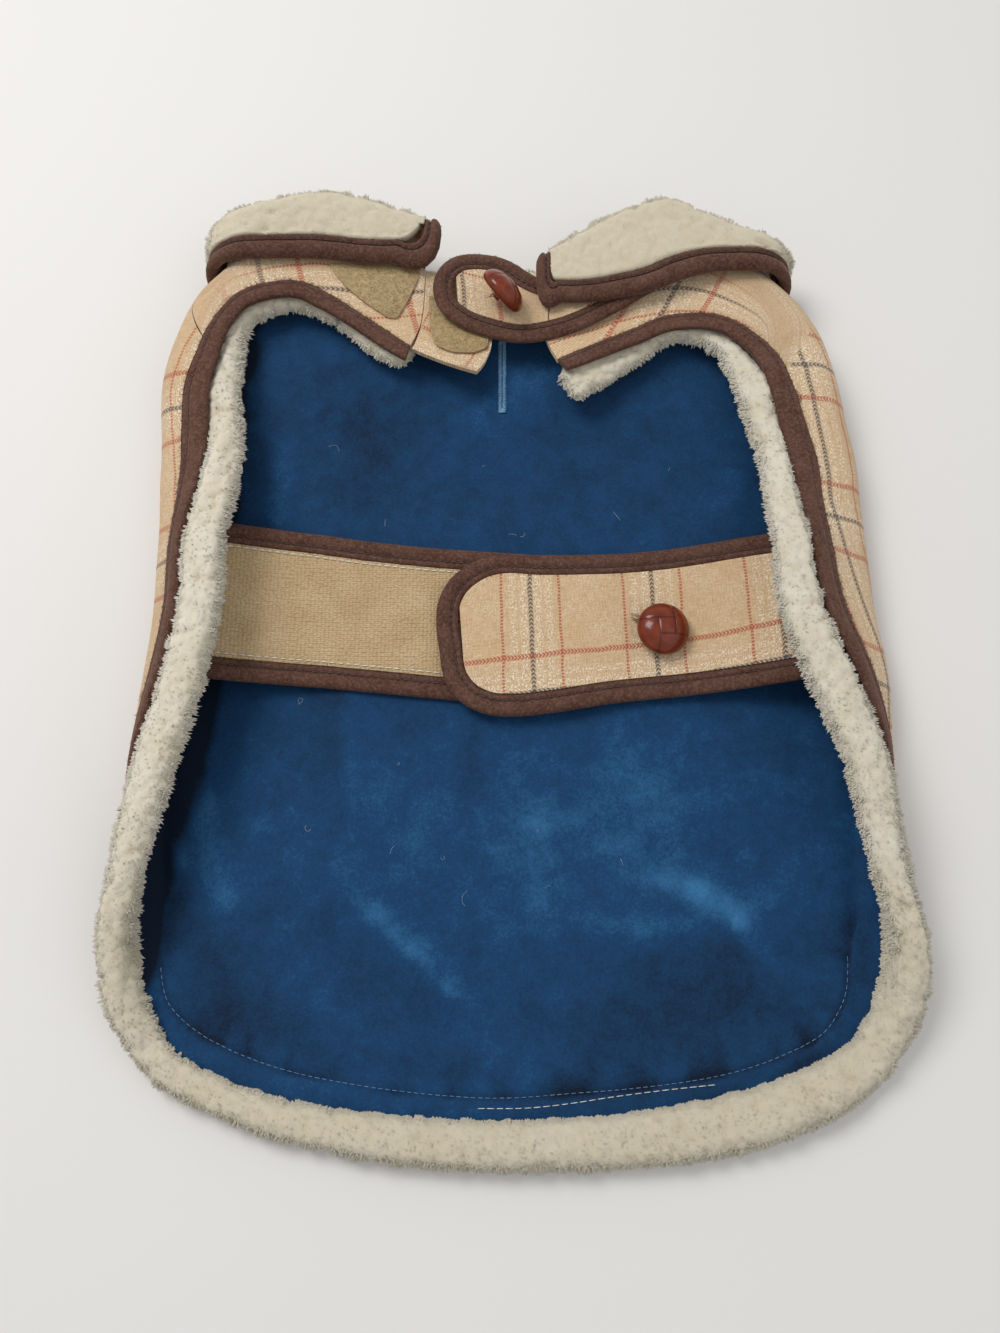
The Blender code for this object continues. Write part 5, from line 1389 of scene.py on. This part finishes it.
def makeTrim(name, node, start, end, seed):
    look = trimLook
    count = int((end - start) * hemLength / pileLook["ringPitch"])
    share = np.linspace(start, end, count)
    point, along, out, deep = [hemAt(side, share) for side in hemFrame()]
    out, deep = unit(out), unit(deep)
    width, thick, tilt, reach, height = np.moveaxis(smoothRows(trimRows, share), -1, 0)
    tilt = np.radians(tilt)
    # the free ends, on the chest flaps, are rounded off
    inside = np.minimum(share - trimSplits[0], trimSplits[-1] - share) * hemLength / look["endRound"]
    inside = np.clip(inside, 0, 1)
    rounded = look["endLeast"] + (1 - look["endLeast"]) * np.sqrt(1 - (1 - inside) ** 2)
    shrink = (1 - look["pileRoom"]) * rounded
    reach = reach - look["pileRoom"] / 2 * (np.abs(np.cos(tilt)) * width + np.abs(np.sin(tilt)) * thick)
    middle = point + out * reach[:, None] + deep * height[:, None]
    flatAxis = out * np.cos(tilt)[:, None] + deep * np.sin(tilt)[:, None]
    highAxis = deep * np.cos(tilt)[:, None] - out * np.sin(tilt)[:, None]
    turn = np.linspace(0, 2 * math.pi, pileLook["around"], endpoint=False)
    wide, high = squared(np.cos(turn)), squared(np.sin(turn))
    # behind the rump the pile spreads over what it lies on and is widest low down
    spread = look["spread"] * atRump(share)[:, None] * np.clip(wide, 0, 1)[None]
    high = high[None] - spread * (1 - high[None] ** 2)
    rings = (middle[:, None] + flatAxis[:, None] * (wide[None] * (width * shrink)[:, None] / 2)[..., None]
             + highAxis[:, None] * (high * (thick * shrink)[:, None] / 2)[..., None])
    ends = np.minimum(np.arange(count), np.arange(count)[::-1])
    skin, root, normal, dome, pick, height = fleeceSkin(rings, rings - middle[:, None], True, seed,
                                                        pileLook["tufts"])
    # locks stay short where the lining's edge lies over them
    step = pick // len(turn)
    inwards = -np.sum(normal * out[step], axis=1)
    shorter = 1 - look["shorterInside"] * smoothStep(inwards, -0.2, 0.5) * atRump(share[step])
    # the locks beside a join lean over it
    beyond = np.where(step < count / 2, -1.0, 1.0) * np.exp(-(ends[step] / look["joinReach"]) ** 2)
    comb = out[step] * look["comb"] + unit(along[step]) * beyond[:, None]
    locks, blocks, soft, toneAndShade = pileTufts(root, normal, dome[pick], comb, seed, shorter)
    body = skin.reshape(-1, 3)
    points, faces = joined((body, outwards(body, barFaces(*skin.shape[:2]))), (locks, blocks))
    points[:, 2] = np.maximum(points[:, 2], pileLook["lowest"])
    fromStain = np.linalg.norm(points - np.array(look["stainAt"]), axis=1)
    stain = np.exp(-(fromStain / look["stainSize"]) ** 2)
    # the pile is drawn darker towards the rump
    toneShift = 1 - look["toneShift"] * smoothStep(-points[:, 1], *look["toneShiftFrom"])
    # painted shade in the skin's creases between cushions and at the locks' roots
    marks = {"tip": np.concatenate([height.ravel() * 0.8, toneAndShade]) * toneShift, "stain": stain}
    piece = newPiece(name, points, faces, sherpa, None, marks, soft=np.concatenate([dome, soft]))
    return place(piece, "sherpa", node)


for name, start, end, seed in zip(("Left", "Rump", "Right"), trimSplits, trimSplits[1:], (101, 202, 303)):
    makeTrim("hemSherpa" + name, "hem_sherpa_" + name.lower(), start, end, seed)


def makeCollarSherpa():
    look = collarSizes
    end = look["binding"] + 0.1
    lengths = np.linspace(end, neckLength - end, look["stations"])
    stand, fall, roll = collarAt(lengths)[:3]
    bend = math.pi * roll
    # rounded with the binding at both corners
    drop = np.zeros_like(lengths)
    for corner, apart in zip(look["corners"], (lengths - end, neckLength - end - lengths)):
        near = np.clip(corner - end - apart, 0, corner - end)
        drop += corner - end - np.sqrt((corner - end) ** 2 - near ** 2)
    stops = np.stack([np.zeros_like(stand), stand, stand + bend, stand + bend + fall - end - drop], axis=1)
    shares = np.linspace(0, 3, 46)
    ways = np.array([np.interp(shares, (0, 1, 2, 3), row) for row in stops])
    around = np.broadcast_to(lengths[:, None], ways.shape)
    back = collarSurface(around, ways, -halfWall)
    face = collarSurface(around, ways, halfWall - 0.3)
    skin, root, normal, dome, pick, height = fleeceSkin(face, face - back, False, 404,
                                                        pileLook["tufts"] + look["moreTufts"])
    # long at the roll, where they stand against what lies behind, and pressed down on the face
    shorter = look["longer"] * (1 - look["pressed"] * smoothStep(normal[:, 2], 0.3, 0.8))
    comb = np.array([0.0, look["comb"], 0.0])
    locks, blocks, soft, toneAndShade = pileTufts(root, normal, dome[pick], comb, 404, shorter)
    body = np.concatenate([skin.reshape(-1, 3), back.reshape(-1, 3)])
    faces = outwards(body, shellFaces(*skin.shape[:2]))
    points, blocks = joined((body, faces), (locks, blocks))
    points[:, 2] = np.maximum(points[:, 2], pileLook["lowest"])
    # the collar's pile gets less of its pale tip colour, so it is drawn darker and warmer than the trims
    # painted shade in the creases between the collar's cushions
    skinCreaseShade = height.ravel() * 0.8
    marks = {"tip": look["paleness"] * np.concatenate([skinCreaseShade, skinCreaseShade, toneAndShade])}
    # the blocks are face, back, rim and two of the locks; only the back is cloth
    kinds = [0, 1, 0, 0, 0]
    byFace = np.concatenate([np.full(len(block), kind) for block, kind in zip(blocks, kinds)])
    cut = np.stack([around, ways], axis=-1).reshape(-1, 2)
    cut = np.concatenate([cut, cut, np.zeros((len(locks), 2))])
    piece = newPiece("collarSherpa", points, blocks, [sherpa, checkTwill], cut, marks, byFace, soft=soft)
    return place(piece, "sherpa", "collar_sherpa")


collarPiece = makeCollarSherpa()
print("sherpa grown")


strapLook = {"binding": 8.5, "wall": 2.2, "proud": 0.5, "tapeRows": 1.5, "tapeRib": 2.2, "tapeRelief": 0.22,
             "check": {"uStart": 12.5, "vStart": -15.4, "slope": 0.12, "lean": 0.03}}
tabLook = {"binding": 8.0, "wall": 2.4, "proud": 0.5, "seam": (20.2, 140.5, 158.5),
           "check": {"vStart": -15.3, "uStart": 171.9, "slope": -0.228, "lean": 0.1}}

# heights of the straps' and the tab's underside along x, and their outlines as x and y
leftStrapHeight = (
    (-124, 26.5), (-113, 21), (-100, 14.5), (-84, 9.5), (-62, 6.6), (-35, 5.6), (30, 5.2))
leftStrapTop = (
    (-119, 52), (-104, 53.3), (-79, 53), (-48, 49.8), (-30, 48), (0, 45.8), (27, 44))
leftStrapBottom = (
    (-119, -12), (-104, -11), (-76, -11), (-46, -13.1), (-30, -14.6), (0, -17.4), (27, -19.4))
rightStrapHeight = (
    (-28, 9.4), (10, 9.2), (30, 8.8), (50, 7.4), (72, 7.4), (90, 10.6), (104, 15.5), (116, 21.5),
    (127, 27))
rightStrapOutline = (
    (120.5, 48), (107, 49.1), (94, 49), (79, 47.8), (60, 45.6), (40, 43.8), (16, 43), (0, 43.4),
    (-8, 41.4), (-14.5, 37.6), (-20.5, 31.5), (-24.2, 23), (-24.8, 14), (-23.4, 3), (-20.9, -9.3),
    (-14.5, -17.8), (-5, -22.4), (6, -23.2), (18, -22), (45, -17.4), (76, -14.2), (105, -12.1),
    (120.5, -11.6))
tabHeight = (
    (-30, 25.2), (-20, 24.2), (-10, 23.2), (8, 22.6), (25, 23.3), (45, 25.2), (62, 26.6))
tabOutline = (
    (56, 168.5), (44, 164.5), (30, 161), (20, 161.2), (13, 164.6), (7.5, 169), (1, 172.6), (-10, 174.3),
    (-20, 171.8), (-26.5, 164), (-27.8, 155), (-25, 146), (-18, 139.5), (-6, 134.5), (8, 131.6),
    (20, 132.8), (33, 136.7), (46, 143.2), (63, 153.4))


def strapSurface(rows):
    # a band of cloth curved only along x
    table = np.asarray(rows, float)

    def surface(x, y, height=0.0):
        x = np.asarray(x, float)
        z = smoothRows(table, x)[..., 0]
        slope = smoothRows(table, x + 0.5)[..., 0] - smoothRows(table, x - 0.5)[..., 0]
        size = np.sqrt(1 + slope ** 2)
        return np.stack(np.broadcast_arrays(x - slope / size * height, y, z + height / size), axis=-1)
    return surface


def inset(path, width):
    # a flat path moved to its left
    along = unit(np.gradient(path, axis=0))
    return path + np.column_stack([-along[:, 1], along[:, 0]]) * width


def panelGrid(outline, count, across, endShare=0.93):
    # rows from the outline's lower run to its upper one, from the open end to the closed one
    rows = []
    for share in np.linspace(0, 0.5 * endShare, count):
        top, bottom = smoothPath(outline, fractions=(share, 1 - share))
        rows.append(evenLine(bottom, top, across))
    return np.array(rows)


def boundStrap(name, node, rows, outline, look, cutOf, seed):
    surface = strapSurface(rows)
    path = smoothPath(outline, 240)
    binding, groove = boundEdge(name + "Binding", surface, lambda width: inset(path, width), look["binding"],
                                -coat["seamGap"], look["wall"] + look["proud"], seed)
    place(binding, "suede_binding", node + "_binding")
    grid = panelGrid(inset(path, look["binding"] + coat["seamGap"]), 90, 26)
    spots = flatSpots(*split(grid))
    soft = 0.16 * lumps(spots, 13.0, seed) + 0.08 * lumps(spots, 5.0, seed + 1)
    piece = clothShell(name, surface(*split(grid), look["wall"] + soft - 0.1), surface(*split(grid)),
                       cutOf(grid), checkTwill)
    return place(piece, "check_cloth", node), binding, groove, surface


def strapCut(grid):
    look = strapLook["check"]
    return np.stack([grid[..., 0] - look["uStart"] + look["lean"] * grid[..., 1],
                     grid[..., 1] - look["slope"] * grid[..., 0] - look["vStart"]], axis=-1)


def tabCut(grid):
    # the tab is cut across the cloth, so the weft lines run up it
    look = tabLook["check"]
    return np.stack([grid[..., 1] - look["slope"] * grid[..., 0] - look["uStart"],
                     grid[..., 0] - look["vStart"] + look["lean"] * (grid[..., 1] - 155.0)], axis=-1)


rightStrapPiece, rightStrapBinding, rightStrapGroove = boundStrap(
    "bellyStrapRight", "belly_strap_right", rightStrapHeight, rightStrapOutline, strapLook, strapCut, 51)[:3]
tabPiece, tabBinding, tabGroove, tabFace = boundStrap(
    "neckTab", "neck_tab", tabHeight, tabOutline, tabLook, tabCut, 61)


def makeLeftStrap():
    surface = strapSurface(leftStrapHeight)
    top, bottom = smoothPath(leftStrapTop[::-1], 90), smoothPath(leftStrapBottom, 90)
    bindings, grooves = [], []
    for name, path, seed in (("Top", top, 71), ("Bottom", bottom, 72)):
        binding, groove = boundEdge("bellyStrapLeftBinding" + name, surface,
                                    lambda width, path=path: inset(path, width), strapLook["binding"],
                                    -coat["seamGap"], strapLook["wall"] + strapLook["proud"], seed)
        place(binding, "suede_binding", "belly_strap_left_binding_" + name.lower())
        bindings.append(binding)
        grooves.append(groove)
    inside = strapLook["binding"] + coat["seamGap"]
    upper, lower = inset(top, inside)[::-1], inset(bottom, inside)
    grid = np.array([evenLine(low, high, 110) for low, high in zip(lower, upper)])
    relief = strapLook["tapeRelief"] * np.sin(grid[..., 1] * 2 * math.pi / strapLook["tapeRows"])
    ribs = np.sin(grid[..., 0] * 2 * math.pi / strapLook["tapeRib"] + grid[..., 1] * 3.0)
    relief = relief * (0.6 + 0.4 * ribs)
    piece = clothShell("bellyStrapLeft", surface(*split(grid), strapLook["wall"] - 0.2 + relief),
                       surface(*split(grid)), grid, loopTape)
    place(piece, "loop_tape", "belly_strap_left")
    edges = [surface(*(lower + (upper - lower) * share).T, strapLook["wall"] + 0.15)
             for share in (0.03, 0.97)]
    return piece, bindings, grooves, edges


leftStrapPiece, leftStrapBindings, leftStrapGrooves, tapeEdges = makeLeftStrap()
print("straps laid")


# loop patches: level, and the left and right edge there
patchLook = {"wall": 0.8, "rows": 26, "columns": 24, "loops": 420, "loopSize": 0.42, "filament": 0.05}
underlapPatchRows = (
    (126.6, -19, -11), (129, -24.5, -6.6), (134, -27.4, -4.9), (144, -29, -5.2), (155, -29.6, -6))
flapPatchRows = (
    (143.5, -46, -42.5), (150, -55, -39.5), (156, -62, -37), (162, -67.5, -34.8), (168, -71, -33.4))


def makePatch(name, node, rows, seed):
    look = patchLook
    levels = np.linspace(rows[0][0], rows[-1][0], look["rows"])
    places = np.array([[overFlap(-1, -x, y) for x in np.linspace(left, right, look["columns"])]
                       for y, (left, right) in zip(levels, smoothRows(rows, levels))])
    s, y = split(places)
    outer = onCloth(s, y, -coat["seamGap"] - look["wall"])
    inner = onCloth(s, y, -coat["seamGap"])
    body = np.concatenate([outer.reshape(-1, 3), inner.reshape(-1, 3)])
    # little loops of filament, scattered over the patch
    rng = np.random.default_rng(seed)
    count = look["loops"]
    row, column = (rng.random((count, 2)) * (np.array(outer.shape[:2]) - 1.001)).astype(int).T
    foot = outer[row, column] + (outer[row + 1, column + 1] - outer[row, column]) * rng.random((count, 1))
    turn = rng.random(count) * 2 * math.pi
    way = flatSpots(np.cos(turn), np.sin(turn))
    size = look["loopSize"] * (0.6 + 0.8 * rng.random((count, 1)))
    rise = np.array([0, 0, 1.0])
    steps = [foot + way * size * math.cos(angle) + rise * (size * 0.8 * math.sin(angle) - 0.1)
             for angle in np.linspace(0, math.pi, 6)]
    points, blocks = joined((body, outwards(body, shellFaces(*outer.shape[:2]))),
                            tubes(np.stack(steps, axis=1), np.full(6, look["filament"])))
    return place(newPiece(name, points, blocks, loopPatch, sharp=50), "loop_patch", node)


underlapPatch = makePatch("underlapLoopPatch", "underlap_loop_patch", underlapPatchRows, 81)
flapPatch = makePatch("flapLoopPatch", "flap_loop_patch", flapPatchRows, 82)


buttonLook = {"width": 20.6, "depth": 8.4, "around": 96, "back": -0.42, "shoulder": 0.30, "dome": 0.70,
              "grooveDepth": 0.5, "grooveWidth": 0.42, "pillow": 0.3, "pillowWidth": 1.7, "darkWidth": 0.7}
bellyButton = {"middle": (62.8, 10.6, 15.2), "face": (0.16, -0.02, 1.0), "shank": 1.8,
               "threadsTo": (52.2, 16.4, 10.8)}
neckButton = {"middle": (1.8, 149.0, 35.0), "face": (0.74, 0.50, 0.46), "shank": 1.6,
              "threadsTo": (-4.4, 151.0, 29.0)}

# plaited strips: each groove from p, q to p, q in shares of the button's radius, and its depth
plaitGrooves = (
    (-1.0, 0.30, 0.33, 0.30, 1.0), (0.33, 1.0, 0.33, -0.34, 1.0), (1.0, -0.34, -0.30, -0.34, 0.8),
    (-0.30, -1.0, -0.30, 0.30, 0.8))


def makeButton(name, node, sizes):
    look = buttonLook
    radius, depth = look["width"] / 2, look["depth"]
    back = look["back"] * depth
    reach = np.concatenate([np.linspace(0.004, 0.9, 40), np.linspace(0.9, 1.0, 12)[1:]])
    domed = np.sqrt(np.clip(1 - reach ** 2, 0, 1)) ** 1.05
    dome = back + look["shoulder"] * depth + look["dome"] * depth * domed
    # the section goes on round the rim and down the shank
    rim = ((0.985, back + 0.20 * depth), (0.95, back + 0.10 * depth), (0.86, back + 0.03 * depth),
           (0.60, back), (0.16, back - 0.1), (0.13, back - 0.5), (0.13, back - sizes["shank"]))
    profile = np.concatenate([np.column_stack([reach, dome]), np.array(rim)])
    axis = unit(np.array(sizes["face"]))
    across = unit(np.cross((0.0, 1.0, 0.3), axis))
    upward = np.cross(axis, across)
    turn = np.linspace(0, 2 * math.pi, look["around"], endpoint=False)
    p, q = profile[:, :1] * np.cos(turn), profile[:, :1] * np.sin(turn)
    sunk, mark = np.zeros_like(p), np.zeros_like(p)
    for p0, q0, p1, q1, strength in plaitGrooves:
        apart = apartFrom(p, q, p0, q0, p1, q1)[0] * radius
        sunk = np.maximum(sunk, strength * np.exp(-(apart / look["grooveWidth"]) ** 2))
        sunk = np.maximum(sunk, look["pillow"] * strength * np.exp(-(apart / look["pillowWidth"]) ** 2))
        mark = np.maximum(mark, strength * np.exp(-(apart / (look["darkWidth"] * look["grooveWidth"])) ** 2))
    plaited = (np.arange(len(profile)) < len(reach))[:, None].astype(float)
    high = profile[:, 1:] - look["grooveDepth"] * sunk * plaited
    rings = (np.array(sizes["middle"]) + axis * high[..., None] + across * (p * radius)[..., None]
             + upward * (q * radius)[..., None])
    points = rings.reshape(-1, 3)
    blocks = outwards(points, barFaces(*rings.shape[:2]))
    piece = newPiece(name, points, blocks, buttonPlastic, None, {"groove": 0.75 * mark * plaited})
    return place(piece, "button", node)


makeButton("bellyButton", "belly_button", bellyButton)
makeButton("neckButton", "neck_button", neckButton)


# buttonhole for the lead: satin stitches from its slit outwards, and bars across both ends
slitLook = {"middle": (0.9, 125.0), "length": 32.0, "width": 3.4, "threadPitch": 0.52, "threadWidth": 0.26,
            "across": (0.12, 0.5, 1.1), "height": (0.12, 0.5, 0.5, 0.05), "bars": 5, "barPitch": 0.4,
            "barWidth": 0.42, "barHeight": 0.75}


def makeSlit():
    look = slitLook
    x, y = look["middle"]
    rng = np.random.default_rng(91)
    levels = np.arange(y - look["length"] / 2, y + look["length"] / 2, look["threadPitch"])
    rows = []
    for side in (-1, 1):
        for level in levels:
            outer = look["width"] / 2 * (0.88 + 0.16 * rng.random())
            spots = x + side * np.array([*look["across"], outer])
            rows.append([(spot, level + 0.1 * rng.random() + 0.12 * side * k)
                         for k, spot in enumerate(spots)])
    for level in (levels[0], levels[-1]):
        for k in range(look["bars"]):
            spots = x + np.linspace(-1, 1, 4) * look["width"] * look["barWidth"]
            rows.append([(spot, level + (k - look["bars"] // 2) * look["barPitch"]) for spot in spots])
    rows = np.array(rows)
    floorDepth = liningDepth(rows[..., 0], rows[..., 1]) + coat["liningWall"]
    isBar = np.arange(len(rows))[:, None] >= len(rows) - 2 * look["bars"]
    high = np.where(isBar, look["barHeight"], look["height"])
    paths = onCloth(rows[..., 0], rows[..., 1], floorDepth + high)
    points, blocks = tubes(paths, np.full(4, look["threadWidth"]), 4)
    return place(newPiece("leashSlit", points, blocks, blueThread), "slit_thread", "leash_slit")


slitPiece = makeSlit()


lintLook = {"hairs": 22, "length": (1.2, 6.5), "width": 0.055, "bend": 0.9, "seed": 33,
            "across": (-80, 85), "up": (-135, 100)}
shankThread = {"count": 9, "below": 3.2, "start": 0.5, "end": 0.9, "slack": 0.7, "radius": (0.20, 0.20, 0.12)}
whiteStitchLine = (
    (-8, -161.2), (10, -161), (24, -159.6), (38, -157.6), (58, -155.2), (76, -153.4))


def onLining(path, above=0.1):
    s, y = path[:, 0], path[:, 1]
    return onCloth(s, y, liningDepth(s, y) + coat["liningWall"] + above)


def stitchPiece(name, parts, material, slotName):
    points, blocks = joined(*parts)
    return place(newPiece(name, points, blocks, material), slotName)


topstitchRow = stitches(onLining(smoothPath(topstitchLine, 300), 0.25), 2.5, 0.7, 0.15)
topstitch = stitchPiece("liningTopstitch", [topstitchRow], navyThread, "velvet_lining")
trimRow = stitches(onLining(smoothPath(whiteStitchLine, 120)), 3.2, 0.76, 0.14)
stitchPiece("trimStitch", [trimRow], whiteThread, "sherpa")
grooves = [collarGroove, rightStrapGroove, tabGroove, *leftStrapGrooves, hemGroove]
bindingRows = [stitches(groove, bindingLook["stitchPitch"], 0.7, 0.26, 0.05, 7 + k)
               for k, groove in enumerate(grooves)]
stitchPiece("bindingStitch", bindingRows, brownThread, "suede_binding")
tapeRows = [stitches(edge, 3.1, 0.75, 0.25, 0.0, 17 + k) for k, edge in enumerate(tapeEdges)]
stitchPiece("tapeStitch", tapeRows, whiteThread, "loop_tape")


def shankThreads(name, button, seed):
    # worn ends of the threads that hold a button
    look = shankThread
    count = look["count"]
    rng = np.random.default_rng(seed)
    top = np.array(button["middle"]) - unit(np.array(button["face"])) * look["below"]
    start = top + rng.normal(0, look["start"], (count, 3))
    end = np.array(button["threadsTo"]) + rng.normal(0, look["end"], (count, 3))
    middle = (start + end) / 2 + rng.normal(0, look["slack"], (count, 3)) + np.array([0.0, 0.0, 0.6])
    threads = tubes(np.stack([start, middle, end], axis=1), np.array(look["radius"]), 4)
    return stitchPiece(name, [threads], amberThread, "button")


def makeTabSeam():
    # where the tab's cloth meets the flap's cloth
    at, low, high = tabLook["seam"]
    y = np.linspace(low, high, 24)
    path = tabFace(np.full(24, at) + 0.15 * np.sin(y), y, tabLook["wall"] - 0.02)
    return stitchPiece("tabSeam", [tubes(path[None], np.full(24, 0.24), 4)], brownThread, "check_cloth")


makeTabSeam()


def makeLint():
    # a few loose pale hairs lying on the velvet
    look = lintLook
    rng = np.random.default_rng(look["seed"])
    count = look["hairs"]
    middle = np.column_stack([rng.uniform(*look["across"], count), rng.uniform(*look["up"], count)])
    turn = rng.uniform(0, 2 * math.pi, count)
    bend = rng.normal(0, look["bend"], count)
    reach = np.linspace(*look["length"], count)
    steps = []
    for share in np.linspace(-1, 1, 7):
        angle = turn + bend * share
        steps.append(middle + np.column_stack([np.cos(angle), np.sin(angle)]) * (share * reach / 2)[:, None])
    paths = np.stack([onLining(step, 0.12) for step in steps], axis=1)
    return stitchPiece("velvetLint", [tubes(paths, np.full(7, look["width"]))], lintFibre, "velvet_lining")


makeLint()
shankThreads("bellyButtonThreads", bellyButton, 95)
shankThreads("neckButtonThreads", neckButton, 96)
print("stitches sewn")


def faceArea(piece):
    return sum(polygon.area for polygon in piece.data.polygons) / 2


def declareSheet(piece, width, length, held, extras):
    # flat size in millimetres; the cloth's own area is worked out from the piece
    area = min(faceArea(piece), width * length * mm * mm)
    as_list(extras)


# each sheet's flat width and length, what it lies on and how it is held
for piece, width, length, under, held, extras in (
        (shellPiece, 322.0, 328.0, "floor", "laid", ()),
        (liningPiece, 344.0, 328.0, "shellBack", "laid", [topstitch, slitPiece]),
        (leftFlapPiece, 118.0, 52.0, "velvetLining", "folded", ()),
        (rightFlapPiece, 122.0, 56.0, "velvetLining", "folded", ()),
        (underlapPiece, 31.0, 50.0, "velvetLining", "laid", ()),
        (leftStrapPiece, 150.0, 48.0, "velvetLining", "laid", ()),
        (rightStrapPiece, 140.0, 52.0, "bellyStrapLeft", "laid", ()),
        (tabPiece, 80.0, 28.0, "underlapCloth", "laid", ()),
        (hemBandPiece, 12.5, 1005.0, "shellBack", "folded", ()),
        (underlapPatch, 25.0, 29.0, "underlapCloth", "laid", ()),
        (flapPatch, 38.0, 25.0, "chestFlapLeft", "laid", ()),
        (collarBinding, 15.0, 560.0, "velvetLining", "folded", ()),
        (rightStrapBinding, 13.0, 330.0, "velvetLining", "folded", ()),
        (tabBinding, 12.5, 210.0, "velvetLining", "folded", ()),
        (leftStrapBindings[0], 13.0, 150.0, "velvetLining", "folded", ()),
        (leftStrapBindings[1], 13.0, 150.0, "velvetLining", "folded", ())):
    declareSheet(piece, width, length, held, extras)


studio = {"tilt": 18.0, "distance": 432.0, "lens": 29.7, "film": 36.0, "floor": "#DFDCD8", "floorSize": 4.0,
          "worldTint": "#F1F3F6", "worldStrength": 0.62, "key": (0.55, 9.0, (-0.55, 0.45, 1.05)),
          "fill": (1.2, 2.2, (0.8, -0.3, 1.0))}


def makeStudio():
    look = studio
    bpy.ops.mesh.primitive_plane_add(size=look["floorSize"], location=(0, 0, -0.0003))
    floor = bpy.context.object
    floor.name = "floor"
    material = newMaterial("paleFloor", 0.9, specular=0.1, **{"Base Color": look["floor"]})[0]
    floor.data.materials.append(material)
    for name in ("key", "fill"):
        size, power, spot = look[name]
        light = bpy.data.lights.new(name, "AREA")
        light.size = size
        light.energy = power
        lamp = bpy.data.objects.new(name, light)
        lamp.location = spot
        lamp.rotation_euler = (-lamp.location).to_track_quat("-Z", "Y").to_euler()
        bpy.context.scene.collection.objects.link(lamp)
    world = bpy.data.worlds.new("studio")
    world.use_nodes = True
    background = world.node_tree.nodes["Background"]
    background.inputs["Color"].default_value = linearColour(look["worldTint"])
    background.inputs["Strength"].default_value = look["worldStrength"]
    bpy.context.scene.world = world
    bpy.context.scene.view_settings.view_transform = "Standard"


def makeCamera():
    tilt = math.radians(studio["tilt"])
    camera = bpy.data.objects.new("camera", bpy.data.cameras.new("camera"))
    camera.data.lens = studio["lens"]
    camera.data.sensor_width = studio["film"]
    far = studio["distance"]
    camera.location = (0, -math.sin(tilt) * far * mm, math.cos(tilt) * far * mm)
    camera.rotation_euler = (tilt, 0, 0)
    bpy.context.scene.collection.objects.link(camera)
    bpy.context.scene.camera = camera


makeStudio()
makeCamera()
print("studio set")
